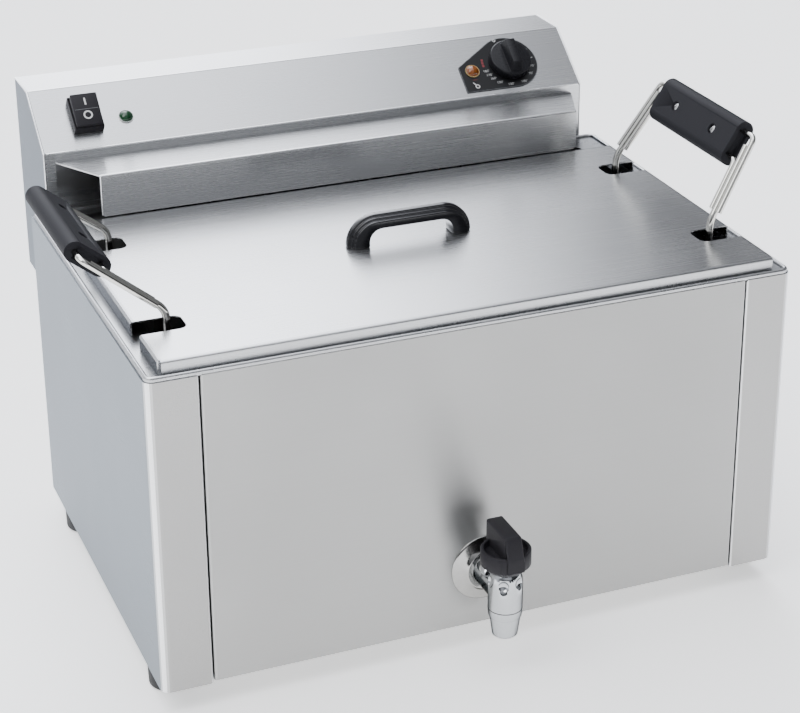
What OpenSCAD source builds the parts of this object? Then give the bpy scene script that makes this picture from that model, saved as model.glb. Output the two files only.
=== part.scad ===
// Table-top donut fryer: a stainless casing round a drained tank, a notched lid, a wire basket
// with two grips, and a control head that hangs on the rear rim and carries the heating element.
// Millimetres, Z up, front at -Y. The origin is on the floor, in the middle of the whole footprint.

/* [Casing] */
// Width of the casing
body_w = 550; // [510:1:620]
// Depth of the casing
body_d = 368; // [350:1:420]
// Height of the casing panels
body_h = 270; // [250:1:310]
// Thickness of the stainless sheet
sheet_t = 1.2; // [0.8:0.1:1.6]
// Outside radius of the front corner bends
corner_r = 8; // [5:0.5:12]
// Width of the corner strips beside the front panel
strip_w = 42; // [34:1:60]
// Gap of the seams beside the front panel
seam_gap = 0.9; // [0.5:0.1:1.5]

/* [Feet] */
// Height of the feet
foot_h = 20; // [14:1:30]
// Diameter of a foot
foot_d = 36; // [28:1:37]
// Side of the casing to the centre of a foot
foot_inset_x = 18.5; // [18.5:0.5:26]
// Front or rear of the casing to the centre of a foot
foot_inset_y = 46; // [36:1:70]

/* [Tank] */
// Thickness of the tank sheet
tank_t = 1.5; // [1:0.1:2]
// Width of the ledge at the sides
side_ledge = 28; // [25:0.5:30]
// Width of the ledge at the front
front_ledge = 22; // [20:0.5:25]
// Width of the ledge at the rear
rear_ledge = 18; // [16:0.5:22]
// Underside of the casing to the tank floor
floor_rise = 43.5; // [36.5:0.5:66]
// Radius of the tank's upright corners
tank_corner_r = 20; // [10:1:30]
// Radius of the rim bead
rim_r = 2; // [1.5:0.1:2.5]

/* [Drain tap] */
// Tank floor to the axis of the drain
drain_rise = 10; // [9:0.5:20]
// Outside diameter of the drain nipple
nipple_d = 21; // [19:0.5:23]
// Bore of the drain nipple
nipple_bore = 15; // [11:0.5:16]
// Diameter of the rosette
rosette_d = 58; // [50:1:66]
// Front panel to the axis of the spout
tap_reach = 42; // [38:1:55]
// Diameter of the tap's barrel
barrel_d = 28.4; // [26:0.2:32]
// Height of the tap's barrel
barrel_h = 43; // [42:1:52]
// Length of the nozzle under the barrel
nozzle_h = 17.5; // [14:0.5:20]
// Outside diameter of the nozzle's mouth
nozzle_d = 21; // [18:0.5:24]
// Bore of the nozzle
nozzle_bore = 12; // [9:0.5:12]
// Diameter of the lever's skirt
lever_d = 41; // [38:1:46]
// Height of the lever's skirt
lever_h = 18; // [14:0.5:20]
// Width of the lever's fin
fin_w = 14.5; // [10:0.5:16]
// Height of the lever's fin
fin_h = 16; // [10:0.5:20]

/* [Lid] */
// Side of the casing to the edge of the lid
lid_side_gap = 13; // [11:0.5:15]
// Front of the casing to the edge of the lid
lid_front_gap = 6.5; // [6:0.5:9]
// Gap between the lid's rear edge and the element cover
lid_rear_gap = 1; // [0.8:0.1:3]
// Height of the lid over the ledge
lid_h = 11.5; // [9:0.5:14]
// Width of a notch for a basket leg
notch_w = 26; // [22:1:34]
// Depth of a notch from the lid's edge
notch_l = 39; // [34:1:48]
// Radius of the notch's inner corners
notch_r = 7; // [4:0.5:9]
// Length of the lid handle
pull_l = 111; // [95:1:140]
// Height of the lid handle
pull_h = 26.5; // [24:0.5:34]
// Width of the lid handle
pull_w = 18; // [16:0.5:24]

/* [Basket] */
// Side of the casing to the basket's uprights
upright_inset = 38.5; // [37:0.5:40]
// Distance between the two uprights of a side
leg_span = 174; // [160:1:190]
// Diameter of the frame and upright wire
frame_wire_d = 6; // [5:0.5:7]
// Diameter of the bail wire
bail_d = 5; // [4:0.5:6]
// Diameter of the grid wire
grid_d = 3; // [2:0.5:4]
// Spacing of the grid wires
grid_pitch = 20; // [14:1:30]
// Lean of the left handle from upright
lean_left = 52; // [46:1:56]
// Lean of the right handle from upright
lean_right = 32; // [30:1:42]
// Leg length from the bend to the lower bail bar
leg_low = 55; // [52:1:64]
// How far each leg draws in from its bend to the upper bail bar
leg_draw = 11; // [0:0.5:13]
// Distance between the two bail bars in a grip
bail_pitch = 24; // [22:1:32]
// Thickness of a grip
grip_t = 17; // [14:0.5:17.5]
// Gap between the end of a grip and the bend of the lower bail
grip_end_gap = 3; // [1:0.1:12]

/* [Control head] */
// Side of the casing to the side of the control box
head_inset = 15; // [5:1:25]
// Depth of the control box
head_d = 99.5; // [92:0.5:120]
// Reach of the control box below the rim
head_drop = 84; // [70:1:110]
// Height of the control box's front face above the rim
head_front_h = 55; // [54:1:62]
// Height of the control box's top above the rim
head_rise = 96; // [94:1:110]
// Depth from the box's front face to the top of its slope
slope_run = 53.5; // [50:0.5:60]
// Side of the control box to the front end of the element cover
cover_inset = 34; // [32:1:50]
// How far each end of the element cover spreads from its front to the control box
cover_spread = 24; // [0:1:24]
// Depth of the element cover
cover_d = 61.5; // [60:0.5:68]
// Lower fold of the control box down to the rear of the element cover's top
cover_drop = 8.5; // [7:0.5:10]
// Rise of the element cover's top from the control box to its front
cover_rise = 5; // [0:0.5:6]
// Height of the element cover's front
cover_h = 36.5; // [30:0.5:37]
// Diameter of the heating element's tube
element_d = 8; // [6.5:0.5:9]
// Height of the element's axis over the tank floor
element_rise = 25; // [20:1:40]
// Diameter of the thermostat knob
knob_d = 40; // [36:1:44]
// Height of the thermostat knob
knob_h = 19; // [17:1:24]
// Diameter of a pilot lens
pilot_d = 12.4; // [10:0.2:14]
// Width of the rocker switch
switch_w = 26.4; // [24:0.2:30]
// Height of the rocker switch along the slope
switch_l = 34; // [32:0.5:40]

/* [Hidden] */
$fn = 48;

// Shared allowances
overrun = 1;
fit = 0.05;
rest_gap = 0.3;
weld_gap = 0.1;
play = 0.5;
fold_r = 1.8;
bend_steps = 6;
bend_swell = 0.02;
bend_bite = 0.1;
rod_roll = 75;

// Levels and faces; the middle of the casing lies before the middle of the footprint, and to its right
head_gap = 0.5;
gland_out = 22;
z_base = foot_h;
z_rim = z_base + body_h;
z_ledge = z_rim + tank_t;
y_mid = (tap_reach + lever_d / 2 - head_gap - head_d - gland_out) / 2;
y_front = y_mid - body_d / 2;
y_rear = y_mid + body_d / 2;
x_side = body_w / 2;

// Casing details
flange_w = 40;
top_flange_w = 16;
return_w = 12;
panel_lift = 2;
seam_hole_r = 1.5;
seam_x = x_side - strip_w - seam_gap / 2;

// Feet details
foot_taper = 0.6;
foot_edge_r = 2;
foot_bore = 5.2;
foot_head_d = 11;
foot_head_h = 4;
foot_recess = 6;
foot_screw_d = 5;
foot_nut_af = 8;
foot_nut_h = 4;

// Tank details
rim_gap = 1;
tank_x = x_side - side_ledge;
tank_y0 = y_front + front_ledge;
tank_y1 = y_rear - rear_ledge;
z_floor = z_base + floor_rise;
tank_depth = z_ledge - z_floor;

// Drain and tap details
z_drain = z_floor + drain_rise;
nipple_out = 10;
nipple_collar_w = 4.5;
nipple_collar_d = nipple_d + 2 * nipple_collar_w;
nipple_collar_t = 3;
nut_wall = 3;
nut_af = nipple_d + 2 * nut_wall;
nut_t = 6;
rosette_rim_t = 1.6;
tail_wall = 2;
tail_d = nipple_d + 2 * tail_wall;
rosette_boss_w = 6;
rosette_boss_d = tail_d + 2 * rosette_boss_w;
rosette_boss_t = 6;
seal_t = 2;
tap_y = y_front - tap_reach;
barrel_drop_share = 0.49;
z_barrel = z_drain - barrel_h * barrel_drop_share;
z_nozzle = z_barrel - nozzle_h;
z_barrel_top = z_barrel + barrel_h;
plug_d = 16;
plug_port_d = 9;
stem_d = 10;
barrel_cap_t = 6;
barrel_neck_in = 3.7;
barrel_neck_d = barrel_d - 2 * barrel_neck_in;
barrel_foot_in = 0.9;
barrel_foot_d = barrel_d - 2 * barrel_foot_in;
groove = 0.8;
dimple_r = 6;
dimple_count = 6;
dimple_drop = 9.5;
dimple_out = 3;
nozzle_spigot = 3;
z_lever = z_barrel_top + play;
stem_grip = 9;
fin_back = 23.5;
fin_front = 14.5;
lever_rim = 2.6;
lever_sink = 5;
lever_chamfer = 5;
grub_d = 3;
grub_l = 6;
grub_rise = 4.5;

// Planes of the control head and its cover
head_y0 = y_rear + head_gap;
head_y1 = head_y0 + head_d;
head_x = x_side - head_inset;
head_w = 2 * head_x;
cover_y0 = head_y0 - cover_d;

// Lid details
lid_x = x_side - lid_side_gap;
lid_y0 = y_front + lid_front_gap;
lid_y1 = cover_y0 - lid_rear_gap;
lid_mid = (lid_y0 + lid_y1) / 2;
z_lid = z_ledge + rest_gap;
z_lid_top = z_lid + lid_h;
lid_edge_r = 2.2;
lid_relief = 3.5;
wing_x = lid_x - notch_l + notch_r;
rear_fold = 5;
pull_back = 6.75;
pull_y = lid_mid + pull_back;
pull_shoulder = 1.5;
pull_r = pull_h - pull_shoulder;
pull_foot = 18;
pull_step = 2.2;
pull_bar_t = 11;
pull_gap_h = pull_h - pull_bar_t;
pull_gap_r = 11;
pull_screw_d = 4;
pull_screw_head_d = 8;
pull_screw_head_t = 2.4;
pull_screw_l = 10;

// Basket details
basket_back = 2.25;
basket_y = lid_mid + basket_back;
upright_x = x_side - upright_inset;
leg_out = (frame_wire_d + bail_d) / 2 + weld_gap;
bend_rise = 12;
leg_bend = 8;
bail_bend = 6;
bail_end = 2;
z_bend = z_lid_top + bend_rise;
leg_high = leg_low + bail_pitch;
x_mid = leg_high * (sin(lean_left) - sin(lean_right)) / 2;
upright_end_share = 0.62;
upright_end = leg_low + bail_pitch * upright_end_share;
leg_slant = atan2(leg_draw, leg_high);
bail_out = leg_out / cos(leg_slant);
grip_l = 2 * (leg_half(leg_low) - bail_out - bail_bend - grip_end_gap);
grip_end_recess = 4;
grip_rim_t = 3.2;
grip_screw_d = 4;
grip_head_d = 8;
grip_head_t = 2.6;
grip_head_sink = 3.4;
grip_screw_share = 0.5;
grip_screw_span = grip_l * grip_screw_share;
grip_seat = 3;
tray_gap = 3;
tray_bend = 16;
tray_x = upright_x - frame_wire_d - weld_gap;
tray_y0 = tank_y0 + tray_gap + frame_wire_d / 2;
tray_y1 = 2 * basket_y - tray_y0;
z_element = z_floor + element_rise;
z_tray = z_element + element_d / 2 + rest_gap + frame_wire_d / 2;
grid_sink = 0.5;
z_grid = z_tray + (frame_wire_d + grid_d) / 2 - grid_sink;
grid_count = floor((2 * tray_x - 2 * tray_bend) / grid_pitch);
long_wire_share = 0.3;

// Control head details
z_head0 = z_rim - head_drop;
z_slope0 = z_rim + head_front_h;
z_head1 = z_rim + head_rise;
slope_h = z_head1 - z_slope0;
slope_a = atan2(slope_h, slope_run);
slope_len = norm([slope_run, slope_h]);
slope_mid = slope_len / 2;
z_cover1 = z_slope0 - cover_drop;
z_cover0 = z_cover1 + cover_rise - cover_h;
cover_w = head_w - 2 * cover_inset;
cover_x = cover_w / 2 + cover_spread;
cover_flange = 5;
hook_reach = 15;
hook_inset = 26;
hook_w = cover_w - 2 * hook_inset;
hook_t = 2;
slot_r = 4;
plate_t = 2;
plate_margin = 6;
plate_lip = 8;
recess_d = 14;
plate_y1 = head_y0 + recess_d;
element_pitch = 50;
element_bend = 16;
element_front_gap = 32;
element_tail = 32;
riser_gap = 16;
riser_y = tank_y1 - riser_gap;
element_lift = 22;
z_element_top = z_rim + element_lift;
slot_drop = 8.5;
z_slot0 = z_element_top - slot_drop;
z_slot1 = z_cover1 + rest_gap;
hairpins = 4;
support_t = 2;
support_w = 14;
support_y_shares = [0.25, 0.75];
sensor_d = 6;
sensor_l = 110;
capillary_d = 2.4;
capillary_bend = 10;
thermostat_s = 46;
thermostat_t = 30;
shaft_d = 6;
shaft_seat = 14;
shaft_out = 15;
knob_inset = 63.5;
knob_x = head_x - knob_inset;
knob_skirt_h = 8;
knob_bar_w = 13;
knob_bar_top_w = 9.5;
knob_bar_draw = 5;
plate_r = 28.5;
dial_t = 0.8;
dial_left = 52;
dial_tip_rise = 0.7;
amber_gap = 39.7;
amber_x = knob_x - amber_gap;
green_inset = 81;
green_x = -head_x + green_inset;
pilot_drop = 5.5;
pilot_flange_w = 1.2;
pilot_body_d = pilot_d - 2 * pilot_flange_w;
pilot_body_l = 22;
pilot_flange_t = 1.4;
pilot_dome_h = 3.2;
pilot_lip = 0.6;
switch_inset = 45;
switch_x = -head_x + switch_inset;
switch_rise = 8;
switch_sink = 7;
switch_wall = 1;
switch_body_l = 24;
switch_body_gap = 4;
switch_body_w = switch_w - switch_body_gap;
switch_body_h = switch_l - switch_body_gap;
rocker_tilt = 7;
rocker_side_gap = 0.4;
rocker_end_gap = 1;
rocker_flare = 0.8;
rocker_pivot = 3;
rocker_h = 14.4;
rocker_end_h = 13.9;
rocker_foot_share = 0.8;
safety_d = 34;
safety_t = 24;
contactor_w = 46;
contactor_d = 58;
contactor_h = 74;
terminal_w = 84;
terminal_d = 24;
terminal_h = 28;
terminal_poles = 5;
gland_d = 20;
gland_bore = 9;
gland_af = 25;
gland_flange_t = 6;
gland_tip_d = 16;
gland_in = 9;
gland_inset = 60;
gland_rise = 30;
vent_l = 40;
vent_w = 4;
vent_pitch = 10;
vent_count = 7;
back_screw_d = 4;
back_screw_head_d = 8;
back_screw_head_t = 2.2;
back_screw_l = 8;
back_screw_inset = 14;
end_flange = 24;
end_flange_gap = 6;
component_x_shares = [-0.3, 0.1, 0.42];

// Colours
steel = "#c3c6c8";
dark_steel = "#8d9093";
chrome = "#dfe3e6";
black = "#25262a";
rubber = "#2d2d2f";
brass = "#b59a5a";
copper = "#9a6f4c";

// Plane vectors
function unit(v) = v / norm(v);
function left_of(v) = [-v.y, v.x];
function turned(v, a) = [v.x * cos(a) - v.y * sin(a), v.x * sin(a) + v.y * cos(a)];

// One bend of a folded line: points on its arc, each with the normal there
function bend(p, q, s, r) =
    let (a = unit(q - p), b = unit(s - q), turn = atan2(a.x * b.y - a.y * b.x, a * b))
    let (side = sign(turn), start = q - a * r * tan(abs(turn) / 2), centre = start + side * r * left_of(a))
    [for (k = [0:bend_steps]) let (n = turned(left_of(a), turn * k / bend_steps)) [centre - side * r * n, n]];

// A folded line through the points, with a bend radius for each inner point
function fold_line(points, radii) =
    let (last = len(points) - 1)
    concat(
        [[points[0], left_of(unit(points[1] - points[0]))]],
        [for (i = [1:last - 1]) each bend(points[i - 1], points[i], points[i + 1], radii[i - 1])],
        [[points[last], left_of(unit(points[last] - points[last - 1]))]]);

// Section of a folded sheet whose middle follows the points
module folded_section(points, radii, t = sheet_t) {
    rail = fold_line(points, radii);
    count = len(rail);
    polygon(concat(
        [for (q = rail) q[0] + q[1] * t / 2],
        [for (i = [1:count]) rail[count - i][0] - rail[count - i][1] * t / 2]));
}

// Turns a section drawn in depth and height into a sheet of the given length along X
module along_x(length) {
    rotate([90, 0, 90]) linear_extrude(length, center = true) children();
}

// Box between two corners
module block(low, high) {
    translate(low) cube(high - low);
}

// Rectangle with round corners between two plane corners
module round_rect(low, high, r) {
    translate([low.x + r, low.y]) square([high.x - low.x - 2 * r, high.y - low.y]);
    translate([low.x, low.y + r]) square([high.x - low.x, high.y - low.y - 2 * r]);
    for (x = [low.x + r, high.x - r], y = [low.y + r, high.y - r]) translate([x, y]) circle(r);
}

// Cylinder along Y from y0 back to y1
module y_cylinder(y0, y1, d) {
    translate([0, y1, 0]) rotate([90, 0, 0]) cylinder(d = d, h = y1 - y0);
}

// Turns Z into the direction v
module towards(v) {
    rotate([0, acos(v.z / norm(v)), atan2(v.y, v.x)]) children();
}

// Straight round rod between two points
module rod(p, q, d) {
    translate(p) towards(q - p) cylinder(d = d, h = norm(q - p));
}

// Round bend of a rod at the corner q, which takes the length give from both straights
module rod_bend(p, q, s, d, give) {
    a = unit(q - p);
    b = unit(s - q);
    out = -unit(b - (a * b) * a);
    n = cross(out, a);
    turn = acos(a * b);
    r = give / tan(turn / 2);
    multmatrix([[out.x, a.x, n.x, q.x], [out.y, a.y, n.y, q.y], [out.z, a.z, n.z, q.z], [0, 0, 0, 1]])
        translate([-r, -give, 0]) rotate_extrude(angle = turn) translate([r, 0]) circle(d = d + bend_swell);
}

// Round rod through points. Its bends are a hair thicker, so that the straights end inside them
module bent_rod(points, d, give) {
    last = len(points) - 1;
    for (i = [0:last - 1]) {
        v = points[i + 1] - points[i];
        low = i == 0 ? 0 : give - bend_bite;
        high = i == last - 1 ? 0 : give - bend_bite;
        translate(points[i]) towards(v) rotate(rod_roll) translate([0, 0, low])
            cylinder(d = d, h = norm(v) - low - high);
    }
    for (i = [1:last - 1]) rod_bend(points[i - 1], points[i], points[i + 1], d, give);
}

// Hexagon nut along Z with its bore
module hex_nut(af, h, bore) {
    difference() {
        cylinder(d = af / cos(180 / 6), h = h, $fn = 6);
        translate([0, 0, -overrun]) cylinder(d = bore, h = h + 2 * overrun);
    }
}

// Pan head screw along Z: the head stands on z = 0 and the shank runs down
module pan_screw(d, length, head_d, head_t) {
    translate([0, 0, -length]) cylinder(d = d, h = length);
    difference() {
        rotate_extrude() intersection() {
            translate([0, head_t - head_d]) circle(head_d);
            square([head_d / 2, head_t]);
        }
        for (a = [0, 90]) rotate(a)
            translate([-head_d / 4, -head_d / 16, head_t / 2]) cube([head_d / 2, head_d / 8, head_t]);
    }
}

// Frame of the sloped panel: X right, Y up the slope, Z out of its outer face
module on_slope() {
    translate([0, head_y0, z_slope0]) rotate([slope_a, 0, 0]) children();
}

// Places at the four feet
module at_feet() {
    for (sx = [-1, 1], sy = [-1, 1])
        translate([sx * (x_side - foot_inset_x), y_mid + sy * (body_d / 2 - foot_inset_y), 0]) children();
}

// Side panel on the left, with its front corner strip, its returns and its flanges
module side_panel() {
    mid = sheet_t / 2;
    difference() {
        union() {
            translate([0, 0, z_base]) linear_extrude(body_h) folded_section(
                [[-x_side + strip_w - mid, y_front + return_w], [-x_side + strip_w - mid, y_front + mid],
                    [-x_side + mid, y_front + mid], [-x_side + mid, y_rear]],
                [fold_r, corner_r - mid]);
            block([-x_side + mid, y_front + corner_r, z_rim - sheet_t],
                [-x_side + top_flange_w, y_rear - sheet_t, z_rim]);
            block([-x_side + mid, y_front + corner_r, z_base],
                [-x_side + flange_w, y_rear - sheet_t, z_base + sheet_t]);
        }
        translate([-seam_x, 0, z_rim]) y_cut(y_front + sheet_t, seam_hole_r);
        at_feet() translate([0, 0, z_base - overrun]) cylinder(d = foot_bore, h = sheet_t + 2 * overrun);
    }
}

// Round cut along Y through the front sheet, ending at y
module y_cut(y, r) {
    y_cylinder(y_front - overrun, y + overrun, 2 * r);
}

module left_side_panel() {
    color(steel) side_panel();
}

module right_side_panel() {
    color(steel) mirror([1, 0, 0]) side_panel();
}

module front_panel() {
    mid = sheet_t / 2;
    edge = x_side - strip_w - seam_gap;
    color(steel) difference() {
        union() {
            translate([0, 0, z_base + panel_lift]) linear_extrude(body_h - panel_lift) folded_section(
                [[-edge + mid, y_front + return_w], [-edge + mid, y_front + mid],
                    [edge - mid, y_front + mid], [edge - mid, y_front + return_w]],
                [fold_r, fold_r]);
            block([-edge + mid, y_front + mid, z_rim - sheet_t], [edge - mid, y_front + return_w, z_rim]);
            block([-edge + mid, y_front + mid, z_base + panel_lift],
                [edge - mid, y_front + return_w, z_base + panel_lift + sheet_t]);
        }
        for (s = [-1, 1]) translate([s * seam_x, 0, z_rim]) y_cut(y_front + sheet_t, seam_hole_r);
        translate([0, 0, z_drain]) y_cut(y_front + sheet_t, nipple_d / 2 + fit);
    }
}

module rear_panel() {
    color(steel) block([-x_side + sheet_t, y_rear - sheet_t, z_base], [x_side - sheet_t, y_rear, z_rim]);
}

module base_plate() {
    color(dark_steel) difference() {
        block([-x_side + sheet_t, y_front + return_w + overrun, z_base + sheet_t],
            [x_side - sheet_t, y_rear - sheet_t, z_base + 2 * sheet_t]);
        at_feet() translate([0, 0, z_base]) cylinder(d = foot_bore, h = foot_recess);
    }
}

// Rolled bead that runs round the rim
module rim_bead() {
    in = rim_gap + rim_r;
    r = corner_r - rim_gap - rim_r;
    x = x_side - in;
    y = body_d / 2 - in;
    for (s = [-1, 1]) {
        rod([-x + r, s * y, 0], [x - r, s * y, 0], 2 * rim_r);
        rod([s * x, -y + r, 0], [s * x, y - r, 0], 2 * rim_r);
    }
    for (k = [0:3]) {
        sx = k == 0 || k == 3 ? 1 : -1;
        sy = k < 2 ? 1 : -1;
        translate([sx * (x - r), sy * (y - r), 0])
            rotate(k * 90) rotate_extrude(angle = 90) translate([r, 0]) circle(rim_r);
    }
}

module tank() {
    t = [tank_t, tank_t];
    low = [-tank_x, tank_y0];
    high = [tank_x, tank_y1];
    rim = [x_side - rim_gap, body_d / 2 - rim_gap];
    color(steel) difference() {
        union() {
            translate([0, 0, z_floor - tank_t]) linear_extrude(z_ledge - z_floor + tank_t)
                round_rect(low - t, high + t, tank_corner_r + tank_t);
            translate([0, y_mid, z_rim]) linear_extrude(tank_t) round_rect(-rim, rim, corner_r - rim_gap);
            translate([0, y_mid, z_rim + rim_r]) rim_bead();
        }
        translate([0, 0, z_floor]) linear_extrude(tank_depth + overrun) round_rect(low, high, tank_corner_r);
        translate([0, 0, z_drain])
            y_cylinder(tank_y0 - tank_t - overrun, tank_y0 + overrun, nipple_d + 2 * fit);
    }
}

module feet() {
    color(rubber) at_feet() rotate_extrude() polygon([[foot_bore / 2, foot_recess],
        [foot_head_d / 2 + play, foot_recess], [foot_head_d / 2 + play, 0],
        [foot_d / 2 - foot_taper - foot_edge_r, 0], [foot_d / 2 - foot_taper, foot_edge_r],
        [foot_d / 2, foot_h], [foot_bore / 2, foot_h]]);
}

module foot_screws() {
    grip = foot_h - foot_recess + 2 * sheet_t;
    color(dark_steel) at_feet() translate([0, 0, foot_recess]) {
        mirror([0, 0, 1]) cylinder(d = foot_head_d, h = foot_head_h);
        cylinder(d = foot_screw_d, h = grip + foot_nut_h);
        translate([0, 0, grip]) cylinder(d = foot_nut_af / cos(180 / 6), h = foot_nut_h, $fn = 6);
    }
}

module drain_nipple() {
    collar_y = tank_y0 - tank_t;
    color(brass) translate([0, 0, z_drain]) difference() {
        union() {
            y_cylinder(y_front - nipple_out, tank_y0, nipple_d);
            y_cylinder(collar_y - nipple_collar_t, collar_y, nipple_collar_d);
        }
        y_cylinder(y_front - nipple_out - overrun, tank_y0 + overrun, nipple_bore);
    }
}

module drain_lock_nut() {
    color(brass) translate([0, y_front + sheet_t + nut_t, z_drain]) rotate([90, 0, 0])
        hex_nut(nut_af, nut_t, nipple_d + 2 * fit);
}

module drain_seal() {
    y = y_front - nipple_out;
    color(rubber) translate([0, 0, z_drain]) difference() {
        y_cylinder(y - seal_t, y, nipple_d);
        y_cylinder(y - seal_t - overrun, y + overrun, nipple_bore);
    }
}

module tap_rosette() {
    color(chrome) translate([0, y_front, z_drain]) rotate([90, 0, 0]) rotate_extrude() polygon([
        [nipple_d / 2 + fit, 0], [rosette_d / 2, 0], [rosette_d / 2, rosette_rim_t / 2],
        [rosette_d / 2 - rosette_rim_t, rosette_rim_t],
        [rosette_boss_d / 2 + rosette_rim_t, rosette_rim_t * 2],
        [rosette_boss_d / 2, rosette_boss_t - rosette_rim_t],
        [rosette_boss_d / 2 - rosette_rim_t, rosette_boss_t], [nipple_d / 2 + fit, rosette_boss_t]]);
}

// Outline of the barrel in radius and height, from its foot up to its neck
barrel_shares = [[0, 0], [0.03, 0.35], [0.1, 0.8], [0.28, 0.95], [0.3, 0.9], [0.32, 0.97], [0.5, 1],
    [0.68, 1], [0.82, 0.86], [0.92, 0.5], [0.97, 0.1], [1, 0]];

module tap_body() {
    seal_y = y_front - nipple_out - seal_t;
    foot_r = barrel_foot_d / 2;
    full = barrel_d / 2;
    neck = barrel_neck_d / 2;
    color(chrome) difference() {
        union() {
            translate([0, tap_y, z_barrel]) rotate_extrude() polygon(concat(
                [[0, 0]],
                [for (s = barrel_shares) [s[0] < 0.5 ? foot_r + (full - foot_r) * s[1]
                    : neck + (full - neck) * s[1], s[0] * barrel_h]],
                [[0, barrel_h]]));
            translate([0, 0, z_drain]) y_cylinder(tap_y, y_front - rosette_boss_t, tail_d);
        }
        translate([0, 0, z_drain]) {
            y_cylinder(seal_y, y_front, nipple_d + 2 * fit);
            y_cylinder(tap_y, y_front, plug_port_d);
        }
        translate([0, tap_y, z_barrel - overrun])
            cylinder(d = plug_d, h = barrel_h - barrel_cap_t + overrun);
        translate([0, tap_y, z_barrel]) cylinder(d = stem_d + 2 * fit, h = barrel_h + overrun);
        for (k = [0:dimple_count - 1])
            translate([0, tap_y, z_barrel_top - dimple_drop]) rotate((k + 0.5) * 360 / dimple_count)
                translate([0, -full - dimple_out, 0]) sphere(dimple_r);
    }
}

module tap_nozzle() {
    top_r = barrel_foot_d / 2 - groove;
    mouth_r = nozzle_d / 2;
    color(chrome) translate([0, tap_y, z_nozzle]) rotate_extrude() polygon([
        [nozzle_bore / 2, 0], [mouth_r - groove, 0], [mouth_r, groove], [top_r, nozzle_h - 2 * groove],
        [top_r, nozzle_h], [plug_d / 2 - fit, nozzle_h], [plug_d / 2 - fit, nozzle_h + nozzle_spigot],
        [nozzle_bore / 2, nozzle_h + nozzle_spigot]]);
}

// Turning plug of the tap: closed at rest, its port faces the tail when it is turned a quarter
module tap_plug() {
    z0 = z_barrel + nozzle_spigot + rest_gap;
    z1 = z_barrel_top - barrel_cap_t - rest_gap;
    color(brass) translate([0, tap_y, 0]) difference() {
        union() {
            translate([0, 0, z0]) cylinder(d = plug_d - 2 * fit, h = z1 - z0);
            translate([0, 0, z0]) cylinder(d = stem_d, h = z_lever + stem_grip - z0);
        }
        translate([0, 0, z0 - overrun]) cylinder(d = plug_port_d, h = z_drain - z0 + overrun);
        translate([0, 0, z_drain]) rotate([0, 90, 0]) cylinder(d = plug_port_d, h = plug_d);
    }
}

module tap_lever() {
    skirt_r = lever_d / 2;
    top = lever_h + fin_h;
    color(black) translate([0, tap_y, z_lever]) difference() {
        union() {
            rotate_extrude() polygon([[0, 0], [skirt_r - lever_chamfer, 0], [skirt_r, lever_chamfer],
                [skirt_r, lever_h - groove], [skirt_r - groove, lever_h], [skirt_r - lever_rim, lever_h],
                [skirt_r - lever_rim - groove, lever_h - lever_sink], [0, lever_h - lever_sink]]);
            along_x(fin_w) polygon([[0, lever_chamfer], [-skirt_r, lever_chamfer],
                [-skirt_r, lever_h - groove], [-fin_front, top], [fin_back, top], [fin_back, lever_h],
                [skirt_r - lever_rim, lever_h - lever_sink]]);
        }
        translate([0, 0, -overrun]) cylinder(d = stem_d + 2 * fit, h = stem_grip + overrun + rest_gap);
        translate([0, 0, grub_rise]) rotate([0, 90, 0]) cylinder(d = grub_d + 2 * fit, h = lever_d);
    }
}

module tap_lever_screw() {
    color(dark_steel) translate([stem_d / 2 + rest_gap, tap_y, z_lever + grub_rise]) rotate([0, 90, 0])
        difference() {
            cylinder(d = grub_d, h = grub_l);
            translate([0, 0, grub_l - grub_d / 2]) cylinder(d = grub_d / 2, h = grub_d, $fn = 6);
        }
}

// Outline of the control box's end in depth and height
module head_outline() {
    polygon([[head_y0, z_head0], [head_y1, z_head0], [head_y1, z_head1], [head_y0 + slope_run, z_head1],
        [head_y0, z_slope0]]);
}

// End of the control box on the left, with the flange that takes the screws of the back
module head_end() {
    y1 = head_y1 - sheet_t;
    difference() {
        union() {
            translate([-head_x + sheet_t / 2, 0, 0]) along_x(sheet_t) head_outline();
            block([-head_x, y1 - sheet_t, z_head0 + end_flange_gap],
                [-head_x + end_flange, y1, z_head1 - end_flange_gap]);
        }
        at_back_screws() cylinder(d = back_screw_d + 2 * fit, h = 2 * back_screw_l, center = true);
    }
}

module head_left_end() {
    color(steel) head_end();
}

module head_right_end() {
    color(steel) mirror([1, 0, 0]) head_end();
}

// Middle of a slope sheet lies half a sheet under its outer face
module control_panel() {
    mid = sheet_t / 2;
    lean = mid * tan(slope_a / 2);
    sink = mid * tan((90 - slope_a) / 2);
    color(steel) difference() {
        along_x(head_w - 2 * sheet_t) folded_section(
            [[head_y0 + mid, z_head0], [head_y0 + mid, z_slope0 - sink],
                [head_y0 + slope_run + lean, z_head1 - mid], [head_y1, z_head1 - mid]],
            [fold_r, fold_r]);
        element_slot();
        on_slope() {
            slope_hole(knob_x, slope_mid, shaft_d * 2);
            slope_hole(amber_x, slope_mid - pilot_drop, pilot_body_d + 2 * fit);
            slope_hole(green_x, slope_mid - pilot_drop, pilot_body_d + 2 * fit);
            translate([switch_x, slope_mid, -overrun])
                cube([switch_body_w, switch_body_h, 2 * plate_r], center = true);
        }
    }
}

// Round hole through the sloped panel at a place on it
module slope_hole(x, y, d) {
    translate([x, y, -plate_r]) cylinder(d = d, h = 2 * plate_r);
}

// Opening in the front face of the control box, round at its lower corners
module element_slot() {
    x = cover_x + fit;
    translate([0, head_y0 + sheet_t + overrun, 0]) rotate([90, 0, 0]) linear_extrude(sheet_t + 2 * overrun) {
        round_rect([-x, z_slot0], [x, z_slot1], slot_r);
        translate([-x, z_slot0 + slot_r]) square([2 * x, z_slot1 - z_slot0 - slot_r]);
    }
}

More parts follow.
